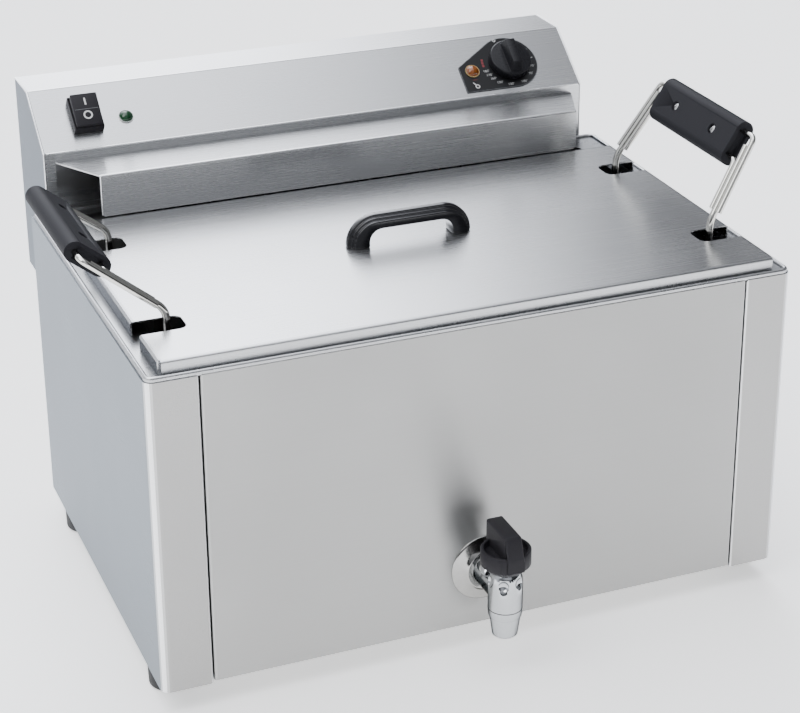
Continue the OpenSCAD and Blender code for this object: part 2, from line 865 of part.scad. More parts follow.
module head_back() {
    x = head_x - sheet_t;
    color(steel) difference() {
        block([-x, head_y1 - sheet_t, z_head0], [x, head_y1, z_head1 - sheet_t]);
        at_gland() cylinder(d = gland_d + 2 * fit, h = 2 * gland_out, center = true);
        at_back_screws() cylinder(d = back_screw_d + 2 * fit, h = 2 * back_screw_l, center = true);
        for (k = [0:vent_count - 1])
            translate([(k - (vent_count - 1) / 2) * (vent_l + vent_pitch), head_y1, z_rim])
                cube([vent_l, head_d / 2, vent_w], center = true);
    }
}

module head_floor() {
    x = head_x - sheet_t;
    color(steel) block([-x, head_y0 + sheet_t, z_head0], [x, head_y1 - sheet_t, z_head0 + sheet_t]);
}

// Place of the cable gland on the back, pointing out of it
module at_gland() {
    translate([-head_x + gland_inset, head_y1, z_head0 + gland_rise]) rotate([-90, 0, 0]) children();
}

// Places of the back's screws, pointing out of it
module at_back_screws() {
    low = z_head0 + back_screw_inset;
    high = z_head1 - back_screw_inset;
    for (x = [-1, 1], z = [low, (low + high) / 2, high])
        translate([x * (head_x - back_screw_inset), head_y1, z]) rotate([-90, 0, 0]) children();
}

module head_screws() {
    color(dark_steel) at_back_screws()
        pan_screw(back_screw_d, back_screw_l, back_screw_head_d, back_screw_head_t);
}

// Angle that hangs the head on the rear ledge, in front of the rim bead
module head_hook() {
    lip_y = head_y0 - hook_reach;
    bead_top = z_rim + 2 * rim_r + play;
    color(dark_steel) along_x(hook_w) polygon([
        [lip_y, z_ledge + weld_gap], [lip_y + hook_t, z_ledge + weld_gap], [lip_y + hook_t, bead_top],
        [head_y0, bead_top], [head_y0, bead_top + hook_t], [lip_y, bead_top + hook_t]]);
}

// Cover with open ends: its top spreads towards the control box and turns up behind the front face
module element_cover() {
    mid = sheet_t / 2;
    turn_y = head_y0 + sheet_t + fold_r + mid;
    front = cover_w / 2;
    color(steel) intersection() {
        along_x(2 * cover_x) folded_section(
            [[turn_y, z_cover1 + cover_flange], [turn_y, z_cover1 - mid],
                [cover_y0 + mid, z_cover1 + cover_rise - mid], [cover_y0 + mid, z_cover0]],
            [fold_r, fold_r]);
        translate([0, 0, z_cover0 - overrun]) linear_extrude(cover_h + cover_flange + 2 * overrun) polygon([
            [-front, cover_y0 - overrun], [front, cover_y0 - overrun], [front, cover_y0 + fold_r],
            [cover_x, head_y0 - overrun], [cover_x, turn_y + overrun], [-cover_x, turn_y + overrun],
            [-cover_x, head_y0 - overrun], [-front, cover_y0 + fold_r]]);
    }
}

// Places of the element's risers along X
riser_xs = [for (k = [0:2 * hairpins - 1]) (k - hairpins + 0.5) * element_pitch];
sensor_x = 2 * element_pitch;

// Folded plate that lines the opening: a lip behind the front face, a floor and the wall that holds the tubes
module element_plate() {
    y0 = head_y0 + sheet_t;
    y1 = plate_y1;
    color(dark_steel) difference() {
        along_x(2 * (cover_x + plate_margin)) polygon([[y0, z_slot0], [y0, z_slot0 - plate_lip],
            [y0 + plate_t, z_slot0 - plate_lip], [y0 + plate_t, z_slot0 - plate_t], [y1, z_slot0 - plate_t],
            [y1, z_slot1], [y1 - plate_t, z_slot1], [y1 - plate_t, z_slot0]]);
        for (rx = riser_xs) translate([rx, 0, z_element_top])
            y_cylinder(y1 - plate_t - overrun, y1 + overrun, element_d + 2 * fit);
        translate([sensor_x, 0, z_element_top])
            y_cylinder(y1 - plate_t - overrun, y1 + overrun, capillary_d + 2 * fit);
    }
}

module heating_element() {
    y_in = head_y0 + element_tail;
    y_out = tank_y0 + element_front_gap;
    color(dark_steel) for (k = [0:hairpins - 1]) {
        a = riser_xs[2 * k];
        b = riser_xs[2 * k + 1];
        bent_rod([[a, y_in, z_element_top], [a, riser_y, z_element_top], [a, riser_y, z_element],
            [a, y_out, z_element], [b, y_out, z_element], [b, riser_y, z_element],
            [b, riser_y, z_element_top], [b, y_in, z_element_top]], element_d, element_bend);
    }
}

// Flat bars under the element's loops
module element_support() {
    x = max(riser_xs) + element_d;
    z = z_element - element_d / 2 - weld_gap;
    color(dark_steel) for (s = support_y_shares) {
        y = tank_y0 + (tank_y1 - tank_y0) * s;
        block([-x, y - support_w / 2, z - support_t], [x, y + support_w / 2, z]);
    }
}

module thermostat_sensor() {
    z = z_element - element_d / 2 + sensor_d / 2;
    y0 = tank_y0 + (tank_y1 - tank_y0) * support_y_shares[0];
    depth = sheet_t + thermostat_t;
    y_end = head_y0 + slope_mid * cos(slope_a) + depth * sin(slope_a);
    z_end = z_slope0 + slope_mid * sin(slope_a) - depth * cos(slope_a) - weld_gap;
    color(copper) {
        rod([sensor_x, y0, z], [sensor_x, y0 + sensor_l, z], sensor_d);
        bent_rod([[sensor_x, y0 + sensor_l, z], [sensor_x, riser_y, z], [sensor_x, riser_y, z_element_top],
            [sensor_x, y_end, z_element_top], [knob_x, y_end, z_element_top],
            [knob_x, y_end, z_end - capillary_d]], capillary_d, capillary_bend);
    }
}

module thermostat() {
    color(black) on_slope() difference() {
        translate([knob_x - thermostat_s / 2, slope_mid - thermostat_s / 2, -sheet_t - fit - thermostat_t])
            cube([thermostat_s, thermostat_s, thermostat_t]);
        translate([knob_x, slope_mid, -sheet_t - shaft_seat])
            cylinder(d = shaft_d + 2 * fit, h = thermostat_t);
    }
}

module thermostat_shaft() {
    color(brass) on_slope() translate([knob_x, slope_mid, -sheet_t - shaft_seat + rest_gap])
        cylinder(d = shaft_d, h = shaft_seat + sheet_t + dial_t + shaft_out);
}

module thermostat_knob() {
    skirt_r = knob_d / 2;
    color(black) on_slope() translate([knob_x, slope_mid, dial_t + play]) difference() {
        union() {
            rotate_extrude() polygon([[0, 0], [skirt_r, 0], [skirt_r, knob_skirt_h - groove],
                [skirt_r - groove, knob_skirt_h], [0, knob_skirt_h]]);
            knob_bar();
        }
        translate([0, 0, -overrun]) cylinder(d = shaft_d + 2 * fit, h = shaft_out + overrun);
    }
}

// Grip bar across the knob, drawn in towards its top
module knob_bar() {
    base = knob_bar_w / 2;
    top = knob_bar_top_w / 2;
    end = knob_d / 2 - 2 * groove;
    intersection() {
        rotate([90, 0, 0]) linear_extrude(knob_d, center = true)
            polygon([[-base, 0], [base, 0], [top, knob_h], [-top, knob_h]]);
        along_x(knob_d) polygon([[-end, 0], [end, 0], [end - knob_bar_draw, knob_h],
            [-end + knob_bar_draw, knob_h]]);
    }
}

module dial_plate() {
    left = knob_x - dial_left;
    low = slope_mid - plate_r;
    color(black) on_slope() difference() {
        linear_extrude(dial_t) {
            translate([knob_x, slope_mid]) circle(plate_r);
            polygon([[left, low], [knob_x, low], [knob_x, slope_mid],
                [knob_x - plate_r * sin(dial_slant), slope_mid + plate_r * cos(dial_slant)],
                [left, slope_mid + dial_tip_rise]]);
        }
        slope_hole(knob_x, slope_mid, shaft_d * 2);
        slope_hole(amber_x, slope_mid - pilot_drop, pilot_body_d + 2 * fit);
    }
}

// Slope of the dial plate's upper left edge, which runs on as a tangent of its round end
dial_slant = asin(plate_r / norm([dial_left, dial_tip_rise])) - atan2(dial_tip_rise, dial_left);

// Pilot lamp on the sloped panel: flange, domed lens and body behind the panel
module pilot(x, base) {
    r = pilot_d / 2 - pilot_lip;
    ball = (r * r + pilot_dome_h * pilot_dome_h) / (2 * pilot_dome_h);
    on_slope() translate([x, slope_mid - pilot_drop, base]) {
        translate([0, 0, -pilot_body_l]) cylinder(d = pilot_body_d, h = pilot_body_l);
        cylinder(d = pilot_d, h = pilot_flange_t);
        translate([0, 0, pilot_flange_t]) rotate_extrude() intersection() {
            translate([0, pilot_dome_h - ball]) circle(ball);
            square([pilot_d, pilot_dome_h]);
        }
    }
}

module green_pilot() {
    color("#1f7a46") pilot(green_x, 0);
}

module amber_pilot() {
    color("#d98a35") pilot(amber_x, dial_t);
}

module switch_housing() {
    color(black) on_slope() translate([switch_x, slope_mid, 0]) difference() {
        union() {
            translate([-switch_w / 2, -switch_l / 2, 0]) cube([switch_w, switch_l, switch_rise]);
            translate([-switch_body_w / 2 + fit, -switch_body_h / 2 + fit, -switch_body_l])
                cube([switch_body_w - 2 * fit, switch_body_h - 2 * fit, switch_body_l]);
        }
        translate([0, 0, switch_rise])
            cube([switch_w - 2 * switch_wall, switch_l - 2 * switch_wall, 2 * switch_sink], center = true);
    }
}

module switch_rocker() {
    half = switch_l / 2 - switch_wall - rocker_end_gap;
    foot = half * rocker_foot_share;
    width = switch_w - 2 * switch_wall - 2 * rocker_side_gap;
    color(black) on_slope() translate([switch_x, slope_mid, rocker_pivot]) rotate([rocker_tilt, 0, 0])
        along_x(width) translate([0, -rocker_pivot]) polygon([[-foot, rocker_pivot], [foot, rocker_pivot],
            [half, switch_rise], [half + rocker_flare, rocker_end_h], [0, rocker_h],
            [-half - rocker_flare, rocker_end_h], [-half, switch_rise]]);
}

module safety_thermostat() {
    color(black) translate([head_x * component_x_shares[2], head_y1 - sheet_t - safety_t, z_rim])
        rotate([-90, 0, 0]) cylinder(d = safety_d, h = safety_t);
}

module contactor() {
    x = head_x * component_x_shares[0];
    y1 = head_y1 - sheet_t;
    z0 = z_head0 + sheet_t;
    color("#50545a") difference() {
        block([x - contactor_w / 2, y1 - contactor_d, z0], [x + contactor_w / 2, y1, z0 + contactor_h]);
        for (s = [-1, 1]) translate([x, y1 - contactor_d, z0 + contactor_h / 2 + s * contactor_h / 2])
            cube([contactor_w * 2, contactor_d / 2, contactor_h / 2], center = true);
    }
}

module terminal_block() {
    x0 = head_x * component_x_shares[1];
    y1 = head_y1 - sheet_t;
    z0 = z_head0 + sheet_t;
    step = terminal_w / terminal_poles;
    color("#e6e3d8") difference() {
        block([x0, y1 - terminal_d, z0], [x0 + terminal_w, y1, z0 + terminal_h]);
        for (k = [0:terminal_poles - 1])
            translate([x0 + (k + 0.5) * step, y1 - terminal_d / 2, z0 + terminal_h / 2])
                cylinder(d = step / 2, h = terminal_h);
    }
}

module cable_gland() {
    color(black) at_gland() difference() {
        union() {
            translate([0, 0, -gland_in]) cylinder(d = gland_d, h = gland_in);
            cylinder(d = gland_af / cos(180 / 6), h = gland_flange_t, $fn = 6);
            cylinder(d1 = gland_af, d2 = gland_tip_d, h = gland_out);
        }
        translate([0, 0, -gland_in - overrun])
            cylinder(d = gland_bore, h = gland_in + gland_out + 2 * overrun);
    }
}

// Grid of the basket: a round frame, long wires in its plane and cross wires on top of them
module basket_tray() {
    x = tray_x;
    mid = (tray_y0 + tray_y1) / 2;
    span = tray_y1 - tray_y0;
    color(chrome) {
        bent_rod([[0, tray_y0, z_tray], [x, tray_y0, z_tray], [x, tray_y1, z_tray], [-x, tray_y1, z_tray],
            [-x, tray_y0, z_tray], [0, tray_y0, z_tray]], frame_wire_d, tray_bend);
        for (s = [-1, 1]) {
            y = mid + s * span * long_wire_share;
            rod([-x, y, z_tray], [x, y, z_tray], grid_d);
        }
        for (k = [0:grid_count]) {
            gx = (k - grid_count / 2) * grid_pitch;
            rod([gx, tray_y0, z_grid], [gx, tray_y1, z_grid], grid_d);
        }
    }
}

// Middle of a handle to the axis of a leg, at a length up the leg from its bend
function leg_half(up) = leg_span / 2 - leg_draw * up / leg_high;

// Side of the basket: 1 is the right side and -1 the left
function lean_of(side) = side > 0 ? lean_right : lean_left;

// Frame of a handle: Y along the grip, Z up the leaning legs from their bend, X out of the upper face
module on_handle(side) {
    translate([side * upright_x, basket_y, z_bend]) rotate([0, side * lean_of(side), 0]) children();
}

module uprights(side) {
    a = lean_of(side);
    x = side * upright_x;
    color(chrome) for (s = [-1, 1]) {
        y = basket_y + s * leg_span / 2;
        tip = basket_y + s * leg_half(upright_end);
        bent_rod([[x, y, z_tray - frame_wire_d / 2], [x, y, z_bend],
            [x + side * upright_end * sin(a), tip, z_bend + upright_end * cos(a)]], frame_wire_d, leg_bend);
    }
}

module left_uprights() {
    uprights(-1);
}

module right_uprights() {
    uprights(1);
}

// Upper and lower bail wire of a handle: a bar through the grip and two legs beside the uprights
module bails(side) {
    foot = leg_bend + bail_end;
    color(chrome) on_handle(side)
        for (b = [[leg_high, bail_out], [leg_low, -bail_out]]) {
            y0 = leg_half(foot) + b[1];
            y1 = leg_half(b[0]) + b[1];
            bent_rod([[0, -y0, foot], [0, -y1, b[0]], [0, y1, b[0]], [0, y0, foot]], bail_d, bail_bend);
        }
}

module left_bails() {
    bails(-1);
}

module right_bails() {
    bails(1);
}

// Half of a grip: the side of its parting plane is 1 for the upper half and -1 for the lower
module grip_half(side, half) {
    r = grip_t / 2;
    up = -side * half;
    color(black) on_handle(side) difference() {
        rotate([90, 0, 0]) linear_extrude(grip_l, center = true) intersection() {
            union() {
                for (z = [leg_low, leg_high]) translate([0, z]) circle(r);
                translate([-r, leg_low]) square([grip_t, bail_pitch]);
            }
            translate([up > 0 ? 0 : -grip_t, 0]) square([grip_t, 2 * leg_high]);
        }
        for (z = [leg_low, leg_high]) translate([0, 0, z]) y_cylinder(-grip_l, grip_l, bail_d + 2 * fit);
        for (s = [-1, 1]) translate([0, s * grip_l / 2, leg_low + bail_pitch / 2])
            cube([grip_t - 2 * grip_rim_t, 2 * grip_end_recess, bail_pitch], center = true);
        at_grip_screws(side) {
            cylinder(d = grip_screw_d + 2 * fit, h = 2 * grip_t, center = true);
            translate([0, 0, r - grip_head_sink]) cylinder(d = grip_head_d + 2 * play, h = grip_t);
        }
    }
}

// Places of a grip's screws in the handle frame, with Z out of the upper face
module at_grip_screws(side) {
    for (s = [-1, 1]) translate([0, s * grip_screw_span / 2, leg_low + bail_pitch / 2])
        rotate([0, -side * 90, 0]) children();
}

module left_grip_upper() {
    grip_half(-1, 1);
}

module left_grip_lower() {
    grip_half(-1, -1);
}

module right_grip_upper() {
    grip_half(1, 1);
}

module right_grip_lower() {
    grip_half(1, -1);
}

module grip_screws() {
    length = grip_t / 2 - grip_head_sink + grip_t / 2 - grip_seat;
    color(chrome) for (side = [-1, 1]) on_handle(side) at_grip_screws(side)
        translate([0, 0, grip_t / 2 - grip_head_sink])
            pan_screw(grip_screw_d, length, grip_head_d, grip_head_t);
}

// Notch of the lid on the right, open at the lid's edge
module notch_2d() {
    w = notch_w / 2;
    in = lid_x - notch_l;
    translate([in + notch_r, -w]) square([notch_l - notch_r + overrun, notch_w]);
    translate([in, -w + notch_r]) square([notch_l, notch_w - 2 * notch_r]);
    for (s = [-1, 1]) translate([in + notch_r, s * (w - notch_r)]) circle(notch_r);
}

// Notches at the four legs of the basket, cut down through the lid
module lid_notches() {
    for (sx = [-1, 1], sy = [-1, 1]) translate([0, basket_y + sy * leg_span / 2, z_lid - overrun])
        linear_extrude(lid_h + 2 * overrun) mirror([sx < 0 ? 1 : 0, 0]) notch_2d();
}

// Flat sheet of the lid from the round ends of the left notches to those of the right
module lid() {
    color(steel) difference() {
        block([-wing_x, lid_y0 + lid_relief, z_lid_top - sheet_t], [wing_x, lid_y1 - lid_relief, z_lid_top]);
        lid_notches();
        at_pull_screws() cylinder(d = pull_screw_d + 2 * fit, h = 2 * lid_h, center = true);
    }
}

// Sides of the lid's sheet, in lengths before, between and behind the notches
module lid_wings() {
    color(steel) difference() {
        for (s = [0, 1]) mirror([s, 0, 0]) block([wing_x, lid_y0 + lid_relief, z_lid_top - sheet_t],
            [lid_x - lid_relief, lid_y1 - lid_relief, z_lid_top]);
        lid_notches();
    }
}

// Edges of the lid, folded down; each is kept off the next at the relieved corners
module lid_edges() {
    mid = sheet_t / 2;
    x = lid_x - mid;
    front = lid_y0 + mid;
    rear = lid_y1 - mid;
    z = z_lid_top - mid;
    radii = [lid_edge_r - mid];
    run = lid_y1 - lid_y0 - 2 * (lid_relief + rest_gap);
    color(steel) {
        along_x(2 * (lid_x - lid_edge_r)) {
            folded_section([[front, z_lid], [front, z], [lid_y0 + lid_relief, z]], radii);
            folded_section([[lid_y1 - lid_relief, z], [rear, z], [rear, z_lid_top - rear_fold]], radii);
        }
        difference() {
            for (s = [-1, 1]) translate([0, lid_mid, 0]) rotate([90, 0, 0])
                linear_extrude(run, center = true)
                    folded_section([[s * (lid_x - lid_relief), z], [s * x, z], [s * x, z_lid]], radii);
            lid_notches();
        }
    }
}

// Places under the lid where the handle is screwed on
module at_pull_screws() {
    for (s = [-1, 1]) translate([s * (pull_l - pull_foot) / 2, pull_y, z_lid_top]) children();
}

// Outline of the lid handle in width and height, drawn in by an inset
module pull_outline(inset) {
    half = pull_l / 2 - inset;
    r = pull_r - inset;
    difference() {
        union() {
            translate([-half + r, 0]) square([2 * (half - r), pull_shoulder + r]);
            translate([-half, 0]) square([2 * half, pull_shoulder]);
            for (s = [-1, 1]) translate([s * (half - r), pull_shoulder]) circle(r);
        }
        translate([-pull_l, -pull_l]) square([2 * pull_l, pull_l]);
        pull_gap();
    }
}

// Finger gap of the lid handle
module pull_gap() {
    half = pull_l / 2 - pull_foot;
    translate([-half, -overrun]) square([2 * half, pull_gap_h - pull_gap_r + overrun]);
    translate([-half + pull_gap_r, -overrun]) square([2 * (half - pull_gap_r), pull_gap_h + overrun]);
    for (s = [-1, 1]) translate([s * (half - pull_gap_r), pull_gap_h - pull_gap_r]) circle(pull_gap_r);
}

module lid_handle() {
    bands = 3;
    color(black) difference() {
        translate([0, pull_y, z_lid_top]) rotate([90, 0, 0]) for (k = [0:bands - 1])
            linear_extrude(pull_w * (k + 1) / bands, center = true) pull_outline(k * pull_step);
        at_pull_screws() cylinder(d = pull_screw_d + 2 * fit, h = 2 * pull_screw_l, center = true);
    }
}

module lid_handle_screws() {
    color(dark_steel) at_pull_screws() translate([0, 0, -sheet_t]) mirror([0, 0, 1])
        pan_screw(pull_screw_d, pull_screw_l, pull_screw_head_d, pull_screw_head_t);
}

// Everything is drawn about the middle of the casing and moved to the middle of the footprint
module placed() {
    translate([x_mid, 0, 0]) children();
}

placed() left_side_panel();
placed() right_side_panel();
placed() front_panel();
placed() rear_panel();
placed() base_plate();
placed() tank();
placed() feet();
placed() foot_screws();
placed() drain_nipple();
placed() drain_lock_nut();
placed() drain_seal();
placed() tap_rosette();
placed() tap_body();
placed() tap_nozzle();
placed() tap_plug();
placed() tap_lever();
placed() tap_lever_screw();
placed() control_panel();
placed() head_left_end();
placed() head_right_end();
placed() head_back();
placed() head_floor();
placed() head_screws();
placed() head_hook();
placed() element_cover();
placed() element_plate();
placed() heating_element();
placed() element_support();
placed() thermostat_sensor();
placed() thermostat();
placed() safety_thermostat();
placed() contactor();
placed() terminal_block();
placed() cable_gland();
placed() dial_plate();
placed() thermostat_shaft();
placed() thermostat_knob();
placed() switch_housing();
placed() switch_rocker();
placed() green_pilot();
placed() amber_pilot();
placed() basket_tray();
placed() left_uprights();
placed() right_uprights();
placed() left_bails();
placed() right_bails();
placed() left_grip_upper();
placed() left_grip_lower();
placed() right_grip_upper();
placed() right_grip_lower();
placed() grip_screws();
placed() lid();
placed() lid_wings();
placed() lid_edges();
placed() lid_handle();
placed() lid_handle_screws();
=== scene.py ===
"""Looks of the table-top donut fryer: materials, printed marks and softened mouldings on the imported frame."""
import math

import bmesh
import bpy
from mathutils import Matrix, Vector


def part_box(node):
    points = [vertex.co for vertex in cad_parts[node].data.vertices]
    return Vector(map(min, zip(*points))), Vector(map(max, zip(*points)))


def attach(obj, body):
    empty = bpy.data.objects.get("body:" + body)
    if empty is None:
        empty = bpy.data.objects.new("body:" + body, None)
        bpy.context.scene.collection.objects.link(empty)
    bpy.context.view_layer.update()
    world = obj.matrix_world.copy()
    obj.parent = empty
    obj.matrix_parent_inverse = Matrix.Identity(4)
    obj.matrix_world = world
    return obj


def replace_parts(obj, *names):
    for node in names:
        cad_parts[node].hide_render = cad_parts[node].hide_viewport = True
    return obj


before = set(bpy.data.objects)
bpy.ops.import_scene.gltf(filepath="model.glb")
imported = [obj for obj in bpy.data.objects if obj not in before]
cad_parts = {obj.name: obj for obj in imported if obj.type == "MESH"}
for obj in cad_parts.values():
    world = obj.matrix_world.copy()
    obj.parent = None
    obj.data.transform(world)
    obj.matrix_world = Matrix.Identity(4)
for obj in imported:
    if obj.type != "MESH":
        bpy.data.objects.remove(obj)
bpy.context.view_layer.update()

# Places and sizes are in millimetres and angles in degrees, unless a line says otherwise
MM = 0.001

# Middle of the casing across the frame: one basket handle leans further out than the other
X_MID = 10.195

# Camera of the 800 x 713 picture, fitted to the casing's edges; its place is in metres
CAMERA_AT = (-0.6252 + X_MID * MM, -1.61505, 0.9854)
CAMERA_DOWN, CAMERA_TURN, CAMERA_ROLL = 23.7, 22.4, -0.1
CAMERA_LENS, CAMERA_SENSOR = 97.23, 36.0
CAMERA_SHIFT = (-0.0375, -0.0706)

# Sloped panel of the control head: its lower fold, its angle and what stands on it
SLOPE_Y, SLOPE_Z, SLOPE_ANGLE, SLOPE_MID = 154.75, 345.0, 37.4644, 33.7
KNOB_X, AMBER_X, GREEN_X, SWITCH_X = 196.5, 156.8, -179.0, -215.0
PILOT_DROP, DIAL_T = 5.5, 0.8
PILOT_V = SLOPE_MID - PILOT_DROP
ROCKER_PIVOT, ROCKER_TILT = 3.0, 7.0

SLOPE = (Matrix.Translation((X_MID * MM, SLOPE_Y * MM, SLOPE_Z * MM))
         @ Matrix.Rotation(math.radians(SLOPE_ANGLE), 4, "X"))


def on_slope(x, v, n=0.0):
    """Frame at a place on the sloped panel, in metres."""
    return SLOPE @ Matrix.Translation((x * MM, v * MM, n * MM))


# ---- materials

# Noise of the grain and of the soft cloud, and the spans of their values that are spread out
GRAIN_DETAIL, CLOUD_DETAIL, CLOUD_SCALE = 4.0, 2.0, 9.0
GRAIN_SPAN, SUM_SPAN = (0.3, 0.7), (0.7, 1.3)
# Height in metres over which the painted light and the added roughness of a vessel's inside fade in
DEEP_FADE = 0.003


def shader_node(nodes, kind, inputs=(), **settings):
    """Shader node with its settings and the constants on its input sockets."""
    node = nodes.new("ShaderNode" + kind)
    for key, value in settings.items():
        setattr(node, key, value)
    for key, value in inputs:
        node.inputs[key].default_value = value
    return node


def map_range(nodes, low, high, start, stop, **settings):
    """Node that carries the span from low to high over to the span from start to stop."""
    ends = (("From Min", low), ("From Max", high), ("To Min", start), ("To Max", stop))
    return shader_node(nodes, "MapRange", ends, **settings)


def axis_of(nodes, link, vector, axis):
    """One axis of a vector."""
    split = shader_node(nodes, "SeparateXYZ")
    link(vector, split.inputs["Vector"])
    return split.outputs[axis]


def facing_painted_light(nodes, link, colour, stops):
    """Colour times painted light by how far the surface faces the front or the back, for a sheet folded round a
    corner: painted shade on its side, a painted highlight on the fold and painted light on the strip in front.
    """
    facing = shader_node(nodes, "NewGeometry")
    size = shader_node(nodes, "Math", operation="ABSOLUTE")
    link(axis_of(nodes, link, facing.outputs["Normal"], "Y"), size.inputs[0])
    painted_light_ramp = shader_node(nodes, "ValToRGB")
    for at, _ in stops[2:]:
        painted_light_ramp.color_ramp.elements.new(at)
    for stop, (at, hue) in zip(painted_light_ramp.color_ramp.elements, stops):
        stop.position, stop.color = at, (*hue, 1)
    link(size.outputs[0], painted_light_ramp.inputs["Fac"])
    product = shader_node(nodes, "Mix", data_type="RGBA", blend_type="MULTIPLY")
    product.inputs["Factor"].default_value = 1.0
    link(colour, product.inputs["A"])
    link(painted_light_ramp.outputs["Color"], product.inputs["B"])
    return product.outputs["Result"]


def inside_painted_light(nodes, link, colour, roughness, height, paler, duller):
    """Lighter colour, which is painted light, and higher roughness below a height in metres, for the inside of a
    vessel.
    """
    where = shader_node(nodes, "NewGeometry")
    below = map_range(nodes, height - DEEP_FADE, height, 1.0, 0.0)
    link(axis_of(nodes, link, where.outputs["Position"], "Z"), below.inputs["Value"])
    pale = shader_node(nodes, "Mix", data_type="RGBA", blend_type="MULTIPLY")
    pale.inputs["B"].default_value = (paler, paler, paler, 1)
    link(below.outputs["Result"], pale.inputs["Factor"])
    link(colour, pale.inputs["A"])
    dull = shader_node(nodes, "Math", ((1, duller),), operation="MULTIPLY_ADD")
    link(below.outputs["Result"], dull.inputs[0])
    link(roughness, dull.inputs[2])
    return pale.outputs["Result"], dull.outputs[0]


def surface(name, colour, rough, grain, relief, shade, gloss, metallic=0.0, cloud=CLOUD_SCALE, tangent=None,
            turn=None, deep=None, **sockets):
    """Principled material whose colour, roughness and relief come from a grain and a soft cloud.

    grain: waves of the grain per metre, one number or one for each axis.
    relief: strength and distance of the bump.
    shade, gloss: how far colour (as a share) and roughness vary.
    turn: stops of painted light by facing, for facing_painted_light(). deep: height, gain in colour as painted light
    and gain in roughness for inside_painted_light().
    """
    mat = bpy.data.materials.new(name)
    mat.use_nodes = True
    nodes, link = mat.node_tree.nodes, mat.node_tree.links.new
    bsdf = nodes["Principled BSDF"]
    bsdf.inputs["Metallic"].default_value = metallic
    for key, value in sockets.items():
        bsdf.inputs[key.replace("_", " ")].default_value = value
    place = shader_node(nodes, "TexCoord").outputs["Object"]
    stretch = shader_node(nodes, "Mapping", (("Scale", grain if isinstance(grain, tuple) else (grain,) * 3),))
    fine = shader_node(nodes, "TexNoise", (("Scale", 1.0), ("Detail", GRAIN_DETAIL)))
    soft = shader_node(nodes, "TexNoise", (("Scale", cloud), ("Detail", CLOUD_DETAIL)))
    link(place, stretch.inputs["Vector"])
    link(stretch.outputs["Vector"], fine.inputs["Vector"])
    link(place, soft.inputs["Vector"])
    ramp = shader_node(nodes, "ValToRGB")
    for stop, at, side in zip(ramp.color_ramp.elements, GRAIN_SPAN, (-1, 1)):
        stop.position = at
        stop.color = [min(c * (1 + side * shade), 1) for c in colour] + [1]
    link(fine.outputs[0], ramp.inputs["Fac"])
    total = shader_node(nodes, "Math", operation="ADD")
    link(fine.outputs[0], total.inputs[0])
    link(soft.outputs[0], total.inputs[1])
    spread = map_range(nodes, *SUM_SPAN, rough - gloss, rough + gloss)
    link(total.outputs[0], spread.inputs["Value"])
    hue, finish = ramp.outputs["Color"], spread.outputs["Result"]
    # Painted shade, highlight and light by facing, for a side panel
    if turn:
        hue = facing_painted_light(nodes, link, hue, turn)
    # Painted light and added roughness on a vessel's inside
    if deep:
        hue, finish = inside_painted_light(nodes, link, hue, finish, *deep)
    link(hue, bsdf.inputs["Base Color"])
    link(finish, bsdf.inputs["Roughness"])
    bump = shader_node(nodes, "Bump", zip(("Strength", "Distance"), relief))
    link(fine.outputs[0], bump.inputs["Height"])
    link(bump.outputs["Normal"], bsdf.inputs["Normal"])
    if tangent:
        across = shader_node(nodes, "CombineXYZ", zip("XYZ", tangent))
        link(across.outputs["Vector"], bsdf.inputs["Tangent"])
    return mat


def metal(name, colour, **look):
    """Surface of bare metal."""
    return surface(name, colour, metallic=1.0, **look)


# Grain of brushed sheet along an axis, grain of moulded plastic, relief of brushing, direction across the brushing
ALONG_X, ALONG_Y, MOULD = (6.0, 1400.0, 1400.0), (1400.0, 6.0, 1400.0), 1500.0
BRUSH = (0.015, 0.00003)
ACROSS_X, ACROSS_Y = (0, 1, 1), (0, 0, 1)
# Painted light on a side panel by the way it faces: painted shade on its side, a painted highlight at the fold round
# the corner and painted light on the strip in front
SIDE_PAINTED_SHADE, FOLD_PAINTED_HIGHLIGHT, FRONT_PAINTED_LIGHT = (0.323, 0.339, 0.349), (1.0, 1.0, 1.0), (0.41, 0.405, 0.395)
# Inside of the tank: below the ledge, lighter than the rim as painted light, and duller: height, gain in colour and
# gain in roughness
TANK_PAINTED_LIGHT_AND_ROUGHNESS = (0.289, 1.25, 0.2)

brushed = metal(
    "brushed_steel_across", (0.55, 0.555, 0.56), rough=0.27, grain=ALONG_X, relief=BRUSH, shade=0.018, gloss=0.02,
    tangent=ACROSS_X, Anisotropic=0.75)
# Copy of the lid's brushed steel for its folded edges, with a dark Specular_Tint that paints shade on the flanges
lid_edge_painted_shade = metal(
    "brushed_steel_edge_painted_shade", (0.55, 0.555, 0.56), rough=0.27, grain=ALONG_X, relief=BRUSH, shade=0.03, gloss=0.02,
    tangent=ACROSS_X, Anisotropic=0.75, Specular_Tint=(0.3, 0.31, 0.33, 1))
brushed_front = metal(
    "brushed_steel_front", (0.57, 0.567, 0.552), rough=0.42, grain=ALONG_X, relief=BRUSH, shade=0.015, gloss=0.02,
    tangent=ACROSS_X, Anisotropic=0.95)
# Side panels: a pale base times painted light by facing, so lit and shaded copies of one brushed steel
brushed_side = metal(
    "brushed_steel_side", (0.96, 0.96, 0.96), rough=0.3, grain=ALONG_Y, relief=BRUSH, shade=0.04, gloss=0.03,
    tangent=ACROSS_Y, Anisotropic=0.7, Specular_Tint=(0.55, 0.58, 0.62, 1),
    turn=((0.0, SIDE_PAINTED_SHADE), (0.25, SIDE_PAINTED_SHADE), (0.62, FOLD_PAINTED_HIGHLIGHT), (0.78, FOLD_PAINTED_HIGHLIGHT),
          (0.97, FRONT_PAINTED_LIGHT), (1.0, FRONT_PAINTED_LIGHT)))
